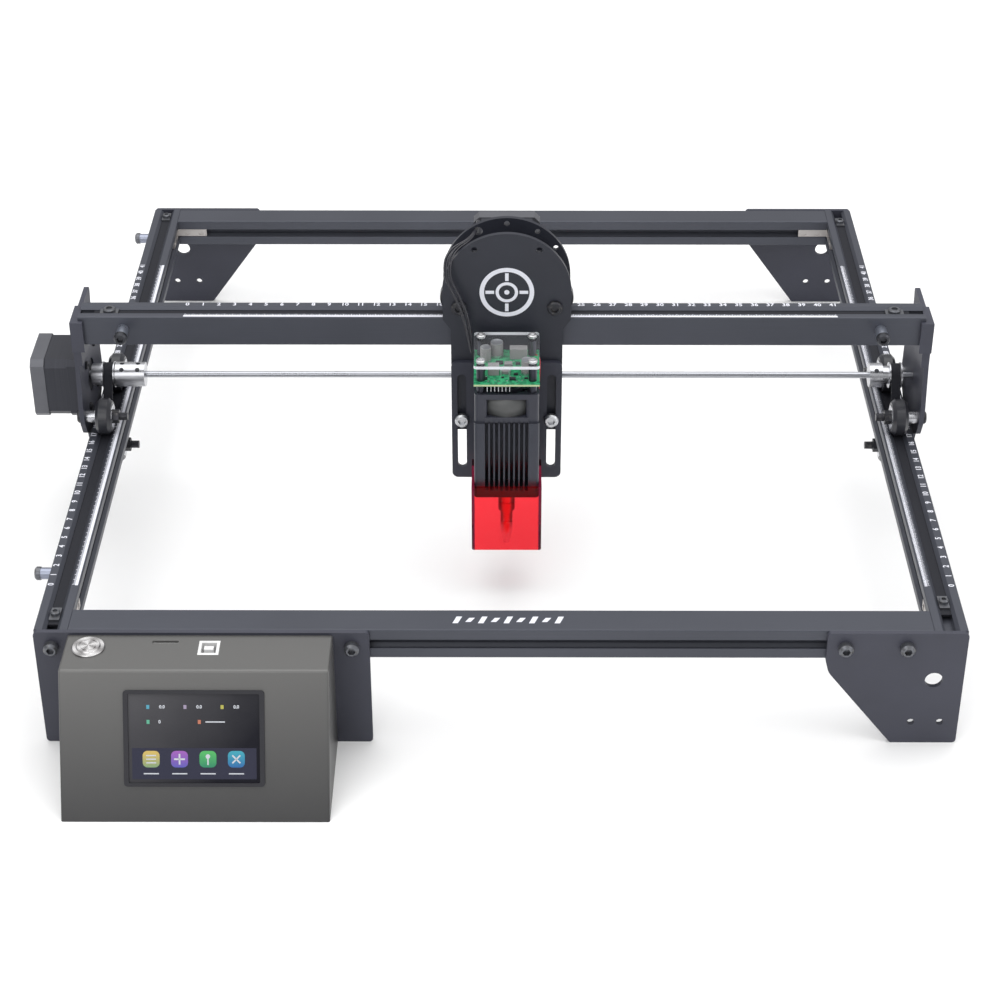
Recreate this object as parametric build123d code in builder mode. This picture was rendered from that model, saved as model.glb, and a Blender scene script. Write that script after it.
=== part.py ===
from build123d import *
import os
from math import asin, atan2, cos, degrees, hypot, radians, sin

# Desktop laser engraver and cutter: an open frame of slotted aluminium bars on four
# sheet-metal foot plates, a gantry beam on V wheels, a carriage on the beam, a laser
# head that clamps at any height, and a control box. Millimetres, +Z up, +Y to the back.
os.makedirs("parts", exist_ok=True)

# ---- driving dimensions ----------------------------------------------------------
FRAME_W = 540.0          # outside the two side rails
RAIL_L = 550.0           # length of a side rail
BAR = 20.0               # every slotted bar is 20 x 20
RAIL_TOP = 80.0          # top of the rails above the floor
PLATE_T = 3.0            # sheet of the foot plates, end plates and carriage plates
SLOT_X = FRAME_W / 2 - BAR / 2
INNER_X = FRAME_W / 2 - BAR

WHEEL_R = 12.0           # V wheel
WHEEL_W = 10.2
WHEEL_FLAT = 5.7         # width of the wheel's outer flat
WHEEL_RISE = 10.0        # wheel axle above the slotted face
WHEEL_PITCH = 60.0       # between the two upper wheels
BEARING_R = 8.0
BEARING_W = 5.0
BEARING_GAP = 1.0        # between the two bearings of a wheel
AXLE_R = 2.5
M4_R = 2.1               # clearance radius of the frame's screws
M3_R = 1.5               # and of the motors', clamps' and head's screws
GUSSET_HOLE_R = 5.25     # round window in a gusset foot plate

SHAFT_Y = 252.0          # drive shaft of the gantry, gantry at rest
PULLEY_RISE = 24.6       # drive axis above the slotted face
PULLEY_R = 6.2
SHAFT_R = 2.1
BEAM_Y = 213.7           # middle of the gantry beam
BEAM_TOP = 173.8
BEAM_L = 534.0
END_IN = 272.0           # inner face of the gantry's end plates
MOTOR = 42.3             # motor flange square
MOTOR_L = 32.5
MOTOR_PITCH = 31.0       # motor screws
BELT_T = 1.4
BELT_W = 6.0
BELT_GAP = 0.3           # between a belt and what it runs over

CAR_X = 3.2              # carriage at rest
CAR_FRONT = 198.6        # front face of the front carriage plate
CAR_BACK = 228.8         # back face of the rear carriage plate
DISC_R = 40.2
FRONT_DISC_Z = 194.4
REAR_DISC_Z = 191.9
NECK_W = 70.4
NECK_BOTTOM = 94.7

HEAD_W = 40.6            # laser module
HEAD_FRONT = 150.0
HEAD_BACK = 193.4
HEAD_Y = (HEAD_FRONT + HEAD_BACK) / 2
SINK_BOTTOM = 74.0
SINK_TOP = 128.1
FAN_TOP = 148.1
BOARD_Z = 154.8
COVER_Z = 167.0
COVER_T = 2.0
SLOT_OFF = 28.6          # height slots either side of the head
SLOT_LOW = 67.8
SLOT_HIGH = 137.1
CLAMP_Z = 104.0          # clamp bolts of the height plate
NOZZLE_Y = 160.0
SHIELD_LOW = 36.3
SHIELD_TOP = 83.5
SHIELD_BACK = 180.0
SHIELD_T = 1.8

BOX_L = -250.0           # control box, left and right side
BOX_R = -97.0
BOX_TOP = 78.3
BOX_BEND = -36.5         # where the top bends into the sloping face
BOX_TOE = -75.5
SHEET = 1.5
FACE_L = hypot(BOX_BEND - BOX_TOE, BOX_TOP)

MOTOR_END = END_IN + PLATE_T + MOTOR_L
BOLT_HEAD = 2.8          # low heads of the gantry's bolts
BOLT_END = END_IN + PLATE_T + BOLT_HEAD
REAR_END = RAIL_L + PLATE_T + 2.8

# The origin stands in the middle of the whole object's footprint, on the floor.
DATUM_X = (MOTOR_END - BOLT_END) / 2
DATUM_Y = -(BOX_TOE + REAR_END) / 2


# ---- planes and small tools ------------------------------------------------------
def level(z, x=0.0, y=0.0):
    """Horizontal plane: local x to the right, local y to the back."""
    return Plane(origin=(DATUM_X + x, DATUM_Y + y, z), x_dir=(1, 0, 0), z_dir=(0, 0, 1))


def upright(y, x=0.0, z=0.0):
    """Upright plane facing the front: local x to the right, local y up."""
    return Plane(origin=(DATUM_X + x, DATUM_Y + y, z), x_dir=(1, 0, 0), z_dir=(0, -1, 0))


def rearward(y, x=0.0, z=0.0):
    """Upright plane facing the back: local x to the left, local y up."""
    return Plane(origin=(DATUM_X + x, DATUM_Y + y, z), x_dir=(-1, 0, 0), z_dir=(0, 1, 0))


def side(x, y=0.0, z=0.0):
    """Upright plane facing right: local x to the back, local y up."""
    return Plane(origin=(DATUM_X + x, DATUM_Y + y, z), x_dir=(0, 1, 0), z_dir=(1, 0, 0))


def leftward(x, y=0.0, z=0.0):
    """Upright plane facing left: local x to the front, local y up."""
    return Plane(origin=(DATUM_X + x, DATUM_Y + y, z), x_dir=(0, -1, 0), z_dir=(-1, 0, 0))


def sloping(x, down, out=0.0):
    """Plane on the control box's sloping face: local y up the slope."""
    fall = (BOX_BEND - BOX_TOE) / FACE_L
    drop = BOX_TOP / FACE_L
    y = BOX_BEND - fall * down - drop * out
    z = BOX_TOP - drop * down + fall * out
    return Plane(origin=(DATUM_X + x, DATUM_Y + y, z), x_dir=(1, 0, 0), z_dir=(0, -drop, fall))


def save(part, label):
    part.label = label
    export_step(part, f"parts/{label}.step")


# Half of a slot from the bar's face inwards, as (half width, depth).
V_SLOT = [(5.05, 0.0), (3.1, 1.95), (3.1, 2.3), (5.5, 2.3), (5.5, 3.8), (3.0, 6.2)]
T_SLOT = [(3.1, 0.0), (3.1, 1.6), (5.5, 1.6), (5.5, 3.4), (3.0, 5.9)]


def slotted_bar(plane, length, turns, half):
    """A slotted bar standing up from the plane, one slot for each turn in degrees."""
    right = [(w, BAR / 2 - d) for w, d in half]
    left = [(-w, y) for w, y in reversed(right)]
    lid = [(-half[0][0], BAR), (half[0][0], BAR)]
    with BuildPart() as bar:
        with BuildSketch(plane):
            RectangleRounded(BAR, BAR, 0.8)
            Circle(M4_R, mode=Mode.SUBTRACT)
            for turn in turns:
                with Locations(Location((0, 0, 0), (0, 0, turn))):
                    Polygon(*right, *left, *lid, align=None, mode=Mode.SUBTRACT)
        extrude(amount=length)
    return bar.part


def tubes(plane, points, radius, bore, length):
    with BuildPart() as group:
        with BuildSketch(plane):
            with Locations(*points):
                Circle(radius)
                Circle(bore, mode=Mode.SUBTRACT)
        extrude(amount=length)
    return group.part


def screws(plane, points, head_r, head_h, shank_r, shank_l):
    """Socket-head screws: heads stand up from the plane, shanks go below it."""
    soft = min(head_h, head_r) * 0.3
    with BuildPart() as screw:
        with BuildSketch(Plane.XZ):
            Polygon((0, -shank_l), (shank_r, -shank_l), (shank_r, 0), (head_r, 0),
                    (head_r, head_h - soft), (head_r - soft, head_h), (0, head_h), align=None)
        revolve(axis=Axis.Z)
        with BuildSketch(Plane.XY.offset(head_h)):
            RegularPolygon(head_r * 0.55, 6)
        extrude(amount=-head_h * 0.5, mode=Mode.SUBTRACT)
    with BuildPart(plane) as group:
        with Locations(*points):
            add(screw.part)
    return group.part


def nuts(plane, points, across, height, bore):
    with BuildPart() as group:
        with BuildSketch(plane):
            with Locations(*points):
                RegularPolygon(across / 2, 6, major_radius=False)
                Circle(bore, mode=Mode.SUBTRACT)
        extrude(amount=height)
    return group.part


def together(*pieces):
    """Separate solids under one name."""
    with BuildPart() as group:
        for piece in pieces:
            add(piece)
    return group.part


def mirrored(piece):
    """The piece and its twin on the other side of the machine."""
    with BuildPart() as pair:
        add(piece)
        mirror(about=side(0))
    return pair.part


# ---- frame: four slotted bars ----------------------------------------------------
MID_Z = RAIL_TOP - BAR / 2
ALL_ROUND = (0, 90, 180, 270)
save(slotted_bar(rearward(0, -SLOT_X, MID_Z), RAIL_L, ALL_ROUND, V_SLOT), "left_rail")
save(slotted_bar(rearward(0, SLOT_X, MID_Z), RAIL_L, ALL_ROUND, V_SLOT), "right_rail")
CROSS_TURNS = (90, 180, 270)
save(slotted_bar(side(-INNER_X, BAR / 2, MID_Z), 2 * INNER_X, CROSS_TURNS, T_SLOT), "front_bar")
save(slotted_bar(side(-INNER_X, RAIL_L - BAR / 2, MID_Z), 2 * INNER_X, CROSS_TURNS, T_SLOT),
     "rear_bar")

# ---- foot plates -----------------------------------------------------------------
FRAME_X = FRAME_W / 2
FRONT_LEFT_EDGE = -76.0   # inner edge of the plate behind the control box
FRONT_LEFT_SCREWS = [(-SLOT_X, MID_Z), (-86.2, MID_Z)]
FRONT_RIGHT_SCREWS = [(199.2, MID_Z), (234.9, MID_Z)]
REAR_SCREWS = [(201.0, MID_Z), (232.0, MID_Z), (SLOT_X, MID_Z)]

with BuildPart() as front_left_plate:
    with BuildSketch(upright(-PLATE_T)):
        with BuildLine():
            FilletPolyline((-FRAME_X, 0), (FRONT_LEFT_EDGE, 0), (FRONT_LEFT_EDGE, RAIL_TOP),
                           (-FRAME_X, RAIL_TOP), radius=2.5, close=True)
        make_face()
        with Locations(*FRONT_LEFT_SCREWS):
            Circle(M4_R, mode=Mode.SUBTRACT)
    extrude(amount=-PLATE_T)
save(front_left_plate.part, "front_left_plate")


def gusset_plate(y, low, high, edge, big, small, screw_points):
    """A foot plate for the right-hand side with its inner lower corner cut off."""
    with BuildPart() as plate:
        with BuildSketch(upright(y)):
            with BuildLine():
                FilletPolyline((low[0], 0), (FRAME_X, 0), (FRAME_X, RAIL_TOP), (edge, RAIL_TOP),
                               (edge, high[1] + 8), high, radius=(2.5, 2.5, 2.5, 2.5, 4, 12),
                               close=True)
            make_face()
            with Locations(big):
                Circle(GUSSET_HOLE_R, mode=Mode.SUBTRACT)
            with Locations(*small):
                Circle(2.2, mode=Mode.SUBTRACT)
            with Locations(*screw_points):
                Circle(M4_R, mode=Mode.SUBTRACT)
        extrude(amount=-PLATE_T)
    return plate.part


FRONT_INSERTS = [(242.0, 15.5), (259.1, 15.5)]
REAR_INSERTS = [(240.1, 17.7), (257.2, 17.7)]
save(gusset_plate(-PLATE_T, (231, 0), (190.6, 52), 188.5, (252.6, 46.5), FRONT_INSERTS,
                  FRONT_RIGHT_SCREWS), "front_right_plate")
rear_plate = gusset_plate(RAIL_L, (230, 0), (193, 50.7), 189, (250.7, 46.3), REAR_INSERTS,
                          REAR_SCREWS)
save(mirrored(rear_plate), "rear_foot_plates")

# ---- screws of the frame -----------------------------------------------------------
STOP_Y = (70.9, 520.5)   # end stops on the left rail
STOP_SLEEVE = 8.5
front_screws = screws(upright(-PLATE_T), FRONT_LEFT_SCREWS + FRONT_RIGHT_SCREWS,
                      4.3, 5.0, M4_R, 8.5)
rear_screws = mirrored(screws(rearward(RAIL_L + PLATE_T), [(-x, z) for x, z in REAR_SCREWS],
                              4.3, 2.8, M4_R, 8.5))
stop_screws = screws(leftward(-FRAME_W / 2 - STOP_SLEEVE), [(-y, MID_Z) for y in STOP_Y],
                     4.2, 3.5, M4_R, STOP_SLEEVE + 4)
save(together(front_screws, rear_screws, stop_screws), "frame_screws")
save(tubes(leftward(-FRAME_W / 2), [(-y, MID_Z) for y in STOP_Y], 3.6, M4_R, STOP_SLEEVE),
     "rail_stop_sleeves")


# ---- corner brackets lying in the slots -------------------------------------------
SET_SCREW_DEEP = 0.6     # a set screw stands this far below the bracket's face


def corner_bracket(y, turn):
    """Bracket for a right-hand corner: y is the crossbar's inner face."""
    arm = 21.5
    deep = 3.6
    corner = INNER_X + deep
    with BuildPart() as bracket:
        with BuildSketch(level(MID_Z - 2.8)):
            Polygon((corner, y + turn * deep), (corner, y - turn * arm),
                    (INNER_X + 0.4, y - turn * arm), (INNER_X + 0.4, y + turn * 0.4),
                    (INNER_X - arm, y + turn * 0.4), (INNER_X - arm, y + turn * deep), align=None)
        extrude(amount=5.6)
        with BuildSketch(side(INNER_X + 0.4)):
            with Locations((y - turn * 7, MID_Z), (y - turn * 17, MID_Z)):
                Circle(1.9)
        extrude(amount=SET_SCREW_DEEP, mode=Mode.SUBTRACT)
        with BuildSketch(upright(y + turn * 0.4)):
            with Locations((INNER_X - 7, MID_Z), (INNER_X - 17, MID_Z)):
                Circle(1.9)
        extrude(amount=-turn * SET_SCREW_DEEP, mode=Mode.SUBTRACT)
    return bracket.part


save(mirrored(together(corner_bracket(RAIL_L - BAR, 1), corner_bracket(BAR, -1))),
     "corner_brackets")

# ---- belts lying in the slots of the side rails -------------------------------------
BELT_TOP = RAIL_TOP + WHEEL_RISE - WHEEL_R - BELT_GAP
CLAMPS = [(-SLOT_X, 17.0), (SLOT_X, 30.0), (-SLOT_X, 540.0), (SLOT_X, 532.0)]


def flat_belt(plane, length, holes):
    """A belt run lying on the plane, local x along it, with its clamp holes."""
    with BuildPart() as belt:
        with BuildSketch(plane):
            Rectangle(length, BELT_W)
            with Locations(*[(x, 0) for x in holes]):
                Circle(M3_R, mode=Mode.SUBTRACT)
        extrude(amount=BELT_T)
    return belt.part


def lying(z, x, y):
    """Horizontal plane: local x to the back, local y to the left."""
    return Plane(origin=(DATUM_X + x, DATUM_Y + y, z), x_dir=(0, 1, 0), z_dir=(0, 0, 1))


left_run = flat_belt(lying(BELT_TOP - BELT_T, -SLOT_X, 276), 536, (17 - 276, 540 - 276))
right_run = flat_belt(lying(BELT_TOP - BELT_T, SLOT_X, 280), 522, (30 - 280, 532 - 280))
save(together(left_run, right_run), "y_belts")


def belt_clamp(plane, points, long, wide, head_r):
    """Clamp plates over and under a belt in its slot, held by a screw."""
    with BuildPart() as plates:
        with BuildSketch(plane):
            with Locations(*points):
                Rectangle(wide, long)
                Circle(M3_R, mode=Mode.SUBTRACT)
        extrude(amount=1.3)
        with BuildSketch(plane.offset(-BELT_T)):
            with Locations(*points):
                Rectangle(wide + 3, long)
                Circle(M3_R, mode=Mode.SUBTRACT)
        extrude(amount=-0.8)
    heads = screws(plane.offset(1.3), points, head_r, 2.2, M3_R, 3.4)
    return together(plates.part, heads)


save(belt_clamp(level(BELT_TOP), CLAMPS, 12, 6.0, 2.9), "belt_clamps")

# ---- control box -------------------------------------------------------------------
BUTTON = (-235.9, -15.3)
CARD = (-192.5, -9.5)
USB = (-167.0, -15.1)
WINDOW = (-173.6, 39.0)  # centre of the display, x and distance down the slope

with BuildPart() as box_shell:
    inner_toe = BOX_TOE + SHEET * FACE_L / BOX_TOP
    inner_bend = inner_toe + (BOX_TOP - SHEET) * (BOX_BEND - BOX_TOE) / BOX_TOP
    with BuildSketch(side(BOX_L)):
        with BuildLine():
            FilletPolyline((-PLATE_T, 0), (-PLATE_T, BOX_TOP), (BOX_BEND, BOX_TOP), (BOX_TOE, 0),
                           radius=(0, 0, 2, 0), close=True)
        make_face()
    extrude(amount=BOX_R - BOX_L)
    outline = [edge for face in box_shell.faces().filter_by(Axis.X) for edge in face.edges()
               if edge.center().Z > 1 and edge.center().Y < DATUM_Y - PLATE_T - 1]
    fillet(outline, 1.2)
    with BuildSketch(side(BOX_L + SHEET)):
        Polygon((1, -1), (1, BOX_TOP - SHEET), (inner_bend, BOX_TOP - SHEET), (inner_toe, -1),
                align=None)
    extrude(amount=BOX_R - BOX_L - 2 * SHEET, mode=Mode.SUBTRACT)
    with BuildSketch(sloping(*WINDOW)):
        Rectangle(76, 53)
    extrude(amount=-4, mode=Mode.SUBTRACT)
    with BuildSketch(level(BOX_TOP)):
        with Locations(BUTTON):
            Circle(8.0)
        with Locations(CARD):
            Rectangle(15, 2.2)
        with Locations(USB):
            Rectangle(12, 13.4)
    extrude(amount=-4, mode=Mode.SUBTRACT)
save(box_shell.part, "box_shell")

with BuildPart() as box_floor:
    with BuildSketch(level(1.0)):
        Polygon((BOX_L + SHEET, -PLATE_T), (BOX_L + SHEET, inner_toe + 1.8),
                (BOX_R - SHEET, inner_toe + 1.8), (BOX_R - SHEET, -PLATE_T), align=None)
    extrude(amount=1.2)
save(box_floor.part, "box_floor")

with BuildPart() as display_bezel:
    with BuildSketch(sloping(*WINDOW)):
        RectangleRounded(79.9, 55.5, 2.0)
        RectangleRounded(74.5, 51.4, 0.8, mode=Mode.SUBTRACT)
    extrude(amount=1.0)
save(display_bezel.part, "display_bezel")

with BuildPart() as display_panel:
    with BuildSketch(sloping(*WINDOW)):
        Rectangle(75.6, 52.6)
    extrude(amount=-3.5)
save(display_panel.part, "display_panel")

with BuildPart() as button_housing:
    with BuildSketch(level(BOX_TOP)):
        with Locations(BUTTON):
            Circle(9.5)
    extrude(amount=1.3)
    chamfer(button_housing.faces().sort_by(Axis.Z)[-1].edges(), 0.5)
    with BuildSketch(level(BOX_TOP)):
        with Locations(BUTTON):
            Circle(8.0)
    extrude(amount=-16)
    with BuildSketch(level(BOX_TOP + 1.3)):
        with Locations(BUTTON):
            Circle(7.1)
    extrude(amount=-9, mode=Mode.SUBTRACT)
save(button_housing.part, "button_housing")

with BuildPart() as power_button:
    with BuildSketch(level(BOX_TOP - 4.0)):
        with Locations(BUTTON):
            Circle(7.05)
    extrude(amount=6.0)
    chamfer(power_button.faces().sort_by(Axis.Z)[-1].edges(), 0.6)
    with BuildSketch(level(BOX_TOP + 2.0)):
        with Locations(BUTTON):
            Circle(5.6)
            Circle(4.4, mode=Mode.SUBTRACT)
    extrude(amount=-0.4, mode=Mode.SUBTRACT)
save(power_button.part, "power_button")

BOARD_FRONT = -7.5
with BuildPart() as usb_port:
    with BuildSketch(level(BOX_TOP)):
        with Locations(USB):
            Rectangle(12, 13.4)
            Rectangle(8.6, 9.6, mode=Mode.SUBTRACT)
            Rectangle(5.4, 3.4)
    extrude(amount=-15)
    with BuildSketch(level(BOX_TOP - 15)):
        with Locations(USB):
            Rectangle(12, 13.4)
    extrude(amount=-1.5)
    with BuildSketch(level(BOX_TOP - 3)):
        with Locations((USB[0], BOARD_FRONT - 0.5)):
            Rectangle(12, 1.0)
    extrude(amount=-12)

with BuildPart() as card_socket:
    with BuildSketch(level(BOX_TOP - SHEET)):
        with Locations((CARD[0], BOARD_FRONT - 2.0)):
            Rectangle(17, 4.0)
        with Locations(CARD):
            Rectangle(13, 1.6, mode=Mode.SUBTRACT)
    extrude(amount=-13)
    with BuildSketch(level(BOX_TOP - SHEET - 13)):
        with Locations((CARD[0], BOARD_FRONT - 2.0)):
            Rectangle(17, 4.0)
    extrude(amount=-1.2)
save(together(usb_port.part, card_socket.part), "box_ports")

with BuildPart() as main_board:
    with BuildSketch(upright(BOARD_FRONT)):
        with Locations(((BOX_L + BOX_R) / 2, 45)):
            Rectangle(128, 58)
        with Locations(BUTTON[0:1] + (BOX_TOP,)):
            Rectangle(24, 60, mode=Mode.SUBTRACT)
    extrude(amount=-1.6)
    with BuildSketch(upright(BOARD_FRONT - 1.6 + 3.2)):
        with Locations((-205, 40), (-125, 40), (-205, 25), (-125, 25)):
            Circle(2.5)
    extrude(amount=-1.4)
save(main_board.part, "main_board")

# ---- gantry: beam and its two ends ---------------------------------------------------
BEAM_Z = BEAM_TOP - BAR / 2
AXLE_Z = RAIL_TOP + WHEEL_RISE
LOWER_Z = RAIL_TOP - BAR - WHEEL_RISE
DRIVE_Z = RAIL_TOP + PULLEY_RISE
UPPER_Y = (SHAFT_Y - WHEEL_PITCH / 2, SHAFT_Y + WHEEL_PITCH / 2)
save(slotted_bar(side(-BEAM_L / 2, BEAM_Y, BEAM_Z), BEAM_L, (0, 180, 270), V_SLOT), "gantry_beam")

with BuildPart() as right_end_plate:
    with BuildSketch(side(END_IN)):
        Polygon((221.5, 155.6), (232, 158.5), (276, 158.5), (274, 146), (290, 106), (291, 92),
                (284.5, 79), (270, 70), (262, 51), (258, 40), (246, 40), (242, 51), (234, 70),
                (219.5, 79), (214, 89), (213, 100), align=None)
        fillet(vertices(), 3.0)
        with Locations((UPPER_Y[0], AXLE_Z), (UPPER_Y[1], AXLE_Z), (SHAFT_Y, LOWER_Z)):
            Circle(AXLE_R, mode=Mode.SUBTRACT)
        with Locations((238.5, 150.4)):
            Circle(M4_R, mode=Mode.SUBTRACT)
        with Locations((SHAFT_Y, DRIVE_Z)):
            Circle(SHAFT_R + 0.07, mode=Mode.SUBTRACT)
    extrude(amount=PLATE_T)
save(right_end_plate.part, "right_end_plate")

MOTOR_POINTS = [(x, y) for x in (-MOTOR_PITCH / 2, MOTOR_PITCH / 2)
                for y in (-MOTOR_PITCH / 2, MOTOR_PITCH / 2)]
with BuildPart() as left_end_plate:
    add(right_end_plate.part)
    mirror(about=side(0), mode=Mode.REPLACE)
    with BuildSketch(leftward(-END_IN + 1, SHAFT_Y, DRIVE_Z)):
        Circle(11.0)
        with Locations(*MOTOR_POINTS):
            Circle(M3_R)
    extrude(amount=PLATE_T + 2, mode=Mode.SUBTRACT)
save(left_end_plate.part, "left_end_plate")

with BuildPart() as beam_bracket:
    with BuildSketch(side(BEAM_L / 2)):
        Polygon((203.6, 171), (224, 171), (224, 157), (246, 157), (246, 138), (203.6, 138),
                align=None)
        with Locations((BEAM_Y, BEAM_Z), (238.5, 150.4)):
            Circle(M4_R, mode=Mode.SUBTRACT)
    extrude(amount=END_IN - BEAM_L / 2)
    with BuildSketch(side(264.0)):
        Polygon((200.5, 171), (203.6, 171), (203.6, 150), (200.5, 150), align=None)
    extrude(amount=END_IN - 264.0)
save(mirrored(beam_bracket.part), "beam_brackets")


def motor(plane):
    """Stepper motor standing on its mounting face; shaft bore and pilot below it."""
    with BuildPart() as body:
        with BuildSketch(plane):
            Rectangle(MOTOR, MOTOR)
            chamfer(vertices(), 3.6)
        extrude(amount=9.0)
        with BuildSketch(plane.offset(9.0)):
            Rectangle(MOTOR - 0.8, MOTOR - 0.8)
            chamfer(vertices(), 4.6)
        extrude(amount=MOTOR_L - 18.0)
        with BuildSketch(plane.offset(MOTOR_L - 9.0)):
            Rectangle(MOTOR, MOTOR)
            chamfer(vertices(), 3.6)
        extrude(amount=9.0)
        with BuildSketch(plane):
            Circle(11.0)
        extrude(amount=-2.0)
        with BuildSketch(plane.offset(-2.0)):
            Circle(AXLE_R + 0.07)
        extrude(amount=14.0, mode=Mode.SUBTRACT)
        with BuildSketch(plane):
            with Locations(*MOTOR_POINTS):
                Circle(M3_R)
        extrude(amount=5.0, mode=Mode.SUBTRACT)
        with BuildSketch(plane.offset(MOTOR_L - 8.0)):
            with Locations((0, -MOTOR / 2 - 2.0)):
                Rectangle(16, 5.0)
        extrude(amount=7.0)
    return body.part


save(motor(leftward(-END_IN - PLATE_T, SHAFT_Y, DRIVE_Z)), "y_motor")
motor_screws = screws(side(-END_IN, SHAFT_Y, DRIVE_Z), MOTOR_POINTS, 2.7, 1.8, M3_R, 7.0)
bracket_screws = mirrored(screws(side(END_IN + PLATE_T), [(238.5, 150.4)], 4.3, BOLT_HEAD, M4_R,
                                 7.5))
save(together(motor_screws, bracket_screws), "gantry_screws")

# ---- wheels, bearings and axles --------------------------------------------------------
BEARING_END = BEARING_GAP / 2 + BEARING_W


def wheels(plane, points):
    """V wheels centred on the plane, turning about its normal."""
    bevel = (WHEEL_W - WHEEL_FLAT) / 2
    half = WHEEL_W / 2
    bore = BEARING_R + 0.06
    rib = BEARING_GAP / 2 - 0.06
    with BuildPart() as wheel:
        with BuildSketch(Plane.XZ):
            Polygon((bore, -half), (WHEEL_R - bevel, -half), (WHEEL_R, -WHEEL_FLAT / 2),
                    (WHEEL_R, WHEEL_FLAT / 2), (WHEEL_R - bevel, half), (bore, half), (bore, rib),
                    (bore - 1, rib), (bore - 1, -rib), (bore, -rib), align=None)
        revolve(axis=Axis.Z)
    with BuildPart(plane) as group:
        with Locations(*points):
            add(wheel.part)
    return group.part


def bearings(plane, points, spacer):
    """Two bearings either side of each wheel's middle, a shim and a spacer behind."""
    low = tubes(plane.offset(-BEARING_END), points, BEARING_R, AXLE_R, BEARING_W)
    high = tubes(plane.offset(BEARING_GAP / 2), points, BEARING_R, AXLE_R, BEARING_W)
    shim = tubes(plane.offset(-BEARING_GAP / 2), points, 3.6, AXLE_R, BEARING_GAP)
    stand = tubes(plane.offset(BEARING_END), points, 4.0, AXLE_R, spacer)
    return together(low, high, shim, stand)


RIGHT_AXLES = [(UPPER_Y[0], AXLE_Z), (UPPER_Y[1], AXLE_Z), (SHAFT_Y, LOWER_Z)]
save(mirrored(wheels(side(SLOT_X), RIGHT_AXLES[0:1])), "y_front_wheels")
save(mirrored(wheels(side(SLOT_X), RIGHT_AXLES[1:2])), "y_rear_wheels")
save(mirrored(wheels(side(SLOT_X), RIGHT_AXLES[2:3])), "y_lower_wheels")
save(mirrored(bearings(side(SLOT_X), RIGHT_AXLES, END_IN - SLOT_X - BEARING_END)),
     "y_wheel_bearings")
NUT_H = 4.0
nut_face = SLOT_X - BEARING_END - NUT_H
y_bolts = screws(side(END_IN + PLATE_T), RIGHT_AXLES, 4.3, BOLT_HEAD, AXLE_R,
                 END_IN + PLATE_T - nut_face + 5.5)
y_nuts = nuts(side(nut_face), RIGHT_AXLES, 8.0, NUT_H, AXLE_R)
save(mirrored(together(y_bolts, y_nuts)), "y_wheel_bolts")

# ---- drive shaft with its pulleys ---------------------------------------------------------


def turned(plane, steps, bore):
    """Turned piece about the plane's normal from (start, end, radius) steps."""
    with BuildPart() as piece:
        for start, end, radius in steps:
            with BuildSketch(plane.offset(start)):
                Circle(radius)
            extrude(amount=end - start)
        if bore:
            with BuildSketch(plane.offset(steps[0][0] - 1)):
                Circle(bore)
            extrude(amount=steps[-1][1] - steps[0][0] + 2, mode=Mode.SUBTRACT)
    return piece.part


shaft_line = side(0, SHAFT_Y, DRIVE_Z)
save(turned(shaft_line, [(-286, -246, AXLE_R), (-246, END_IN + 2, SHAFT_R)], 0), "cross_shaft")
left_pulley = turned(shaft_line, [(-271, -264.4, 7.0), (-264.4, -263.4, 8.5),
                                  (-263.4, -256.8, PULLEY_R), (-256.8, -256, 8.5)], AXLE_R)
right_pulley = turned(shaft_line, [(243, 251.5, 8.0), (251.5, 256, 6.0), (256, 256.8, 8.5),
                                   (256.8, 263.4, PULLEY_R), (263.4, 264.4, 8.5)], SHAFT_R)
save(together(left_pulley, right_pulley), "drive_pulleys")
with BuildPart() as shaft_coupler:
    with BuildSketch(shaft_line.offset(-255.5)):
        Circle(8.1)
        Circle(AXLE_R, mode=Mode.SUBTRACT)
    extrude(amount=9.5)
    with BuildSketch(shaft_line.offset(-246)):
        Circle(8.1)
        Circle(SHAFT_R, mode=Mode.SUBTRACT)
    extrude(amount=10)
    with BuildSketch(level(DRIVE_Z + 9, 0, SHAFT_Y)):
        with Locations((-251, 0), (-240.5, 0)):
            Circle(M3_R)
    extrude(amount=-4, mode=Mode.SUBTRACT)
save(shaft_coupler.part, "shaft_coupler")


# ---- belt loops over the two drive pulleys ---------------------------------------------------
def belt_loop(plane):
    """Belt from under one wheel, over the pulley, to under the other wheel."""
    over_wheel = WHEEL_R + BELT_GAP + BELT_T / 2
    over_pulley = PULLEY_R + BELT_GAP + BELT_T / 2
    across = WHEEL_PITCH / 2
    up = PULLEY_RISE - WHEEL_RISE
    steep = degrees(atan2(up, across) + asin((over_wheel + over_pulley) / hypot(across, up)))
    start = 28.0
    with BuildPart() as loop:
        with BuildSketch(plane):
            with BuildLine():
                rise = CenterArc((-across, WHEEL_RISE), over_wheel, start - 90, steep - start)
                crown = CenterArc((0, PULLEY_RISE), over_pulley, steep + 90, -2 * steep)
                fall = CenterArc((across, WHEEL_RISE), over_wheel, -steep - 90, steep - start)
                Line(rise @ 1, crown @ 0)
                Line(crown @ 1, fall @ 0)
            trace(line_width=BELT_T)
        extrude(amount=BELT_W)
    return loop.part


save(mirrored(belt_loop(side(SLOT_X - BELT_W / 2, SHAFT_Y, RAIL_TOP))), "y_belt_loops")

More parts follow.
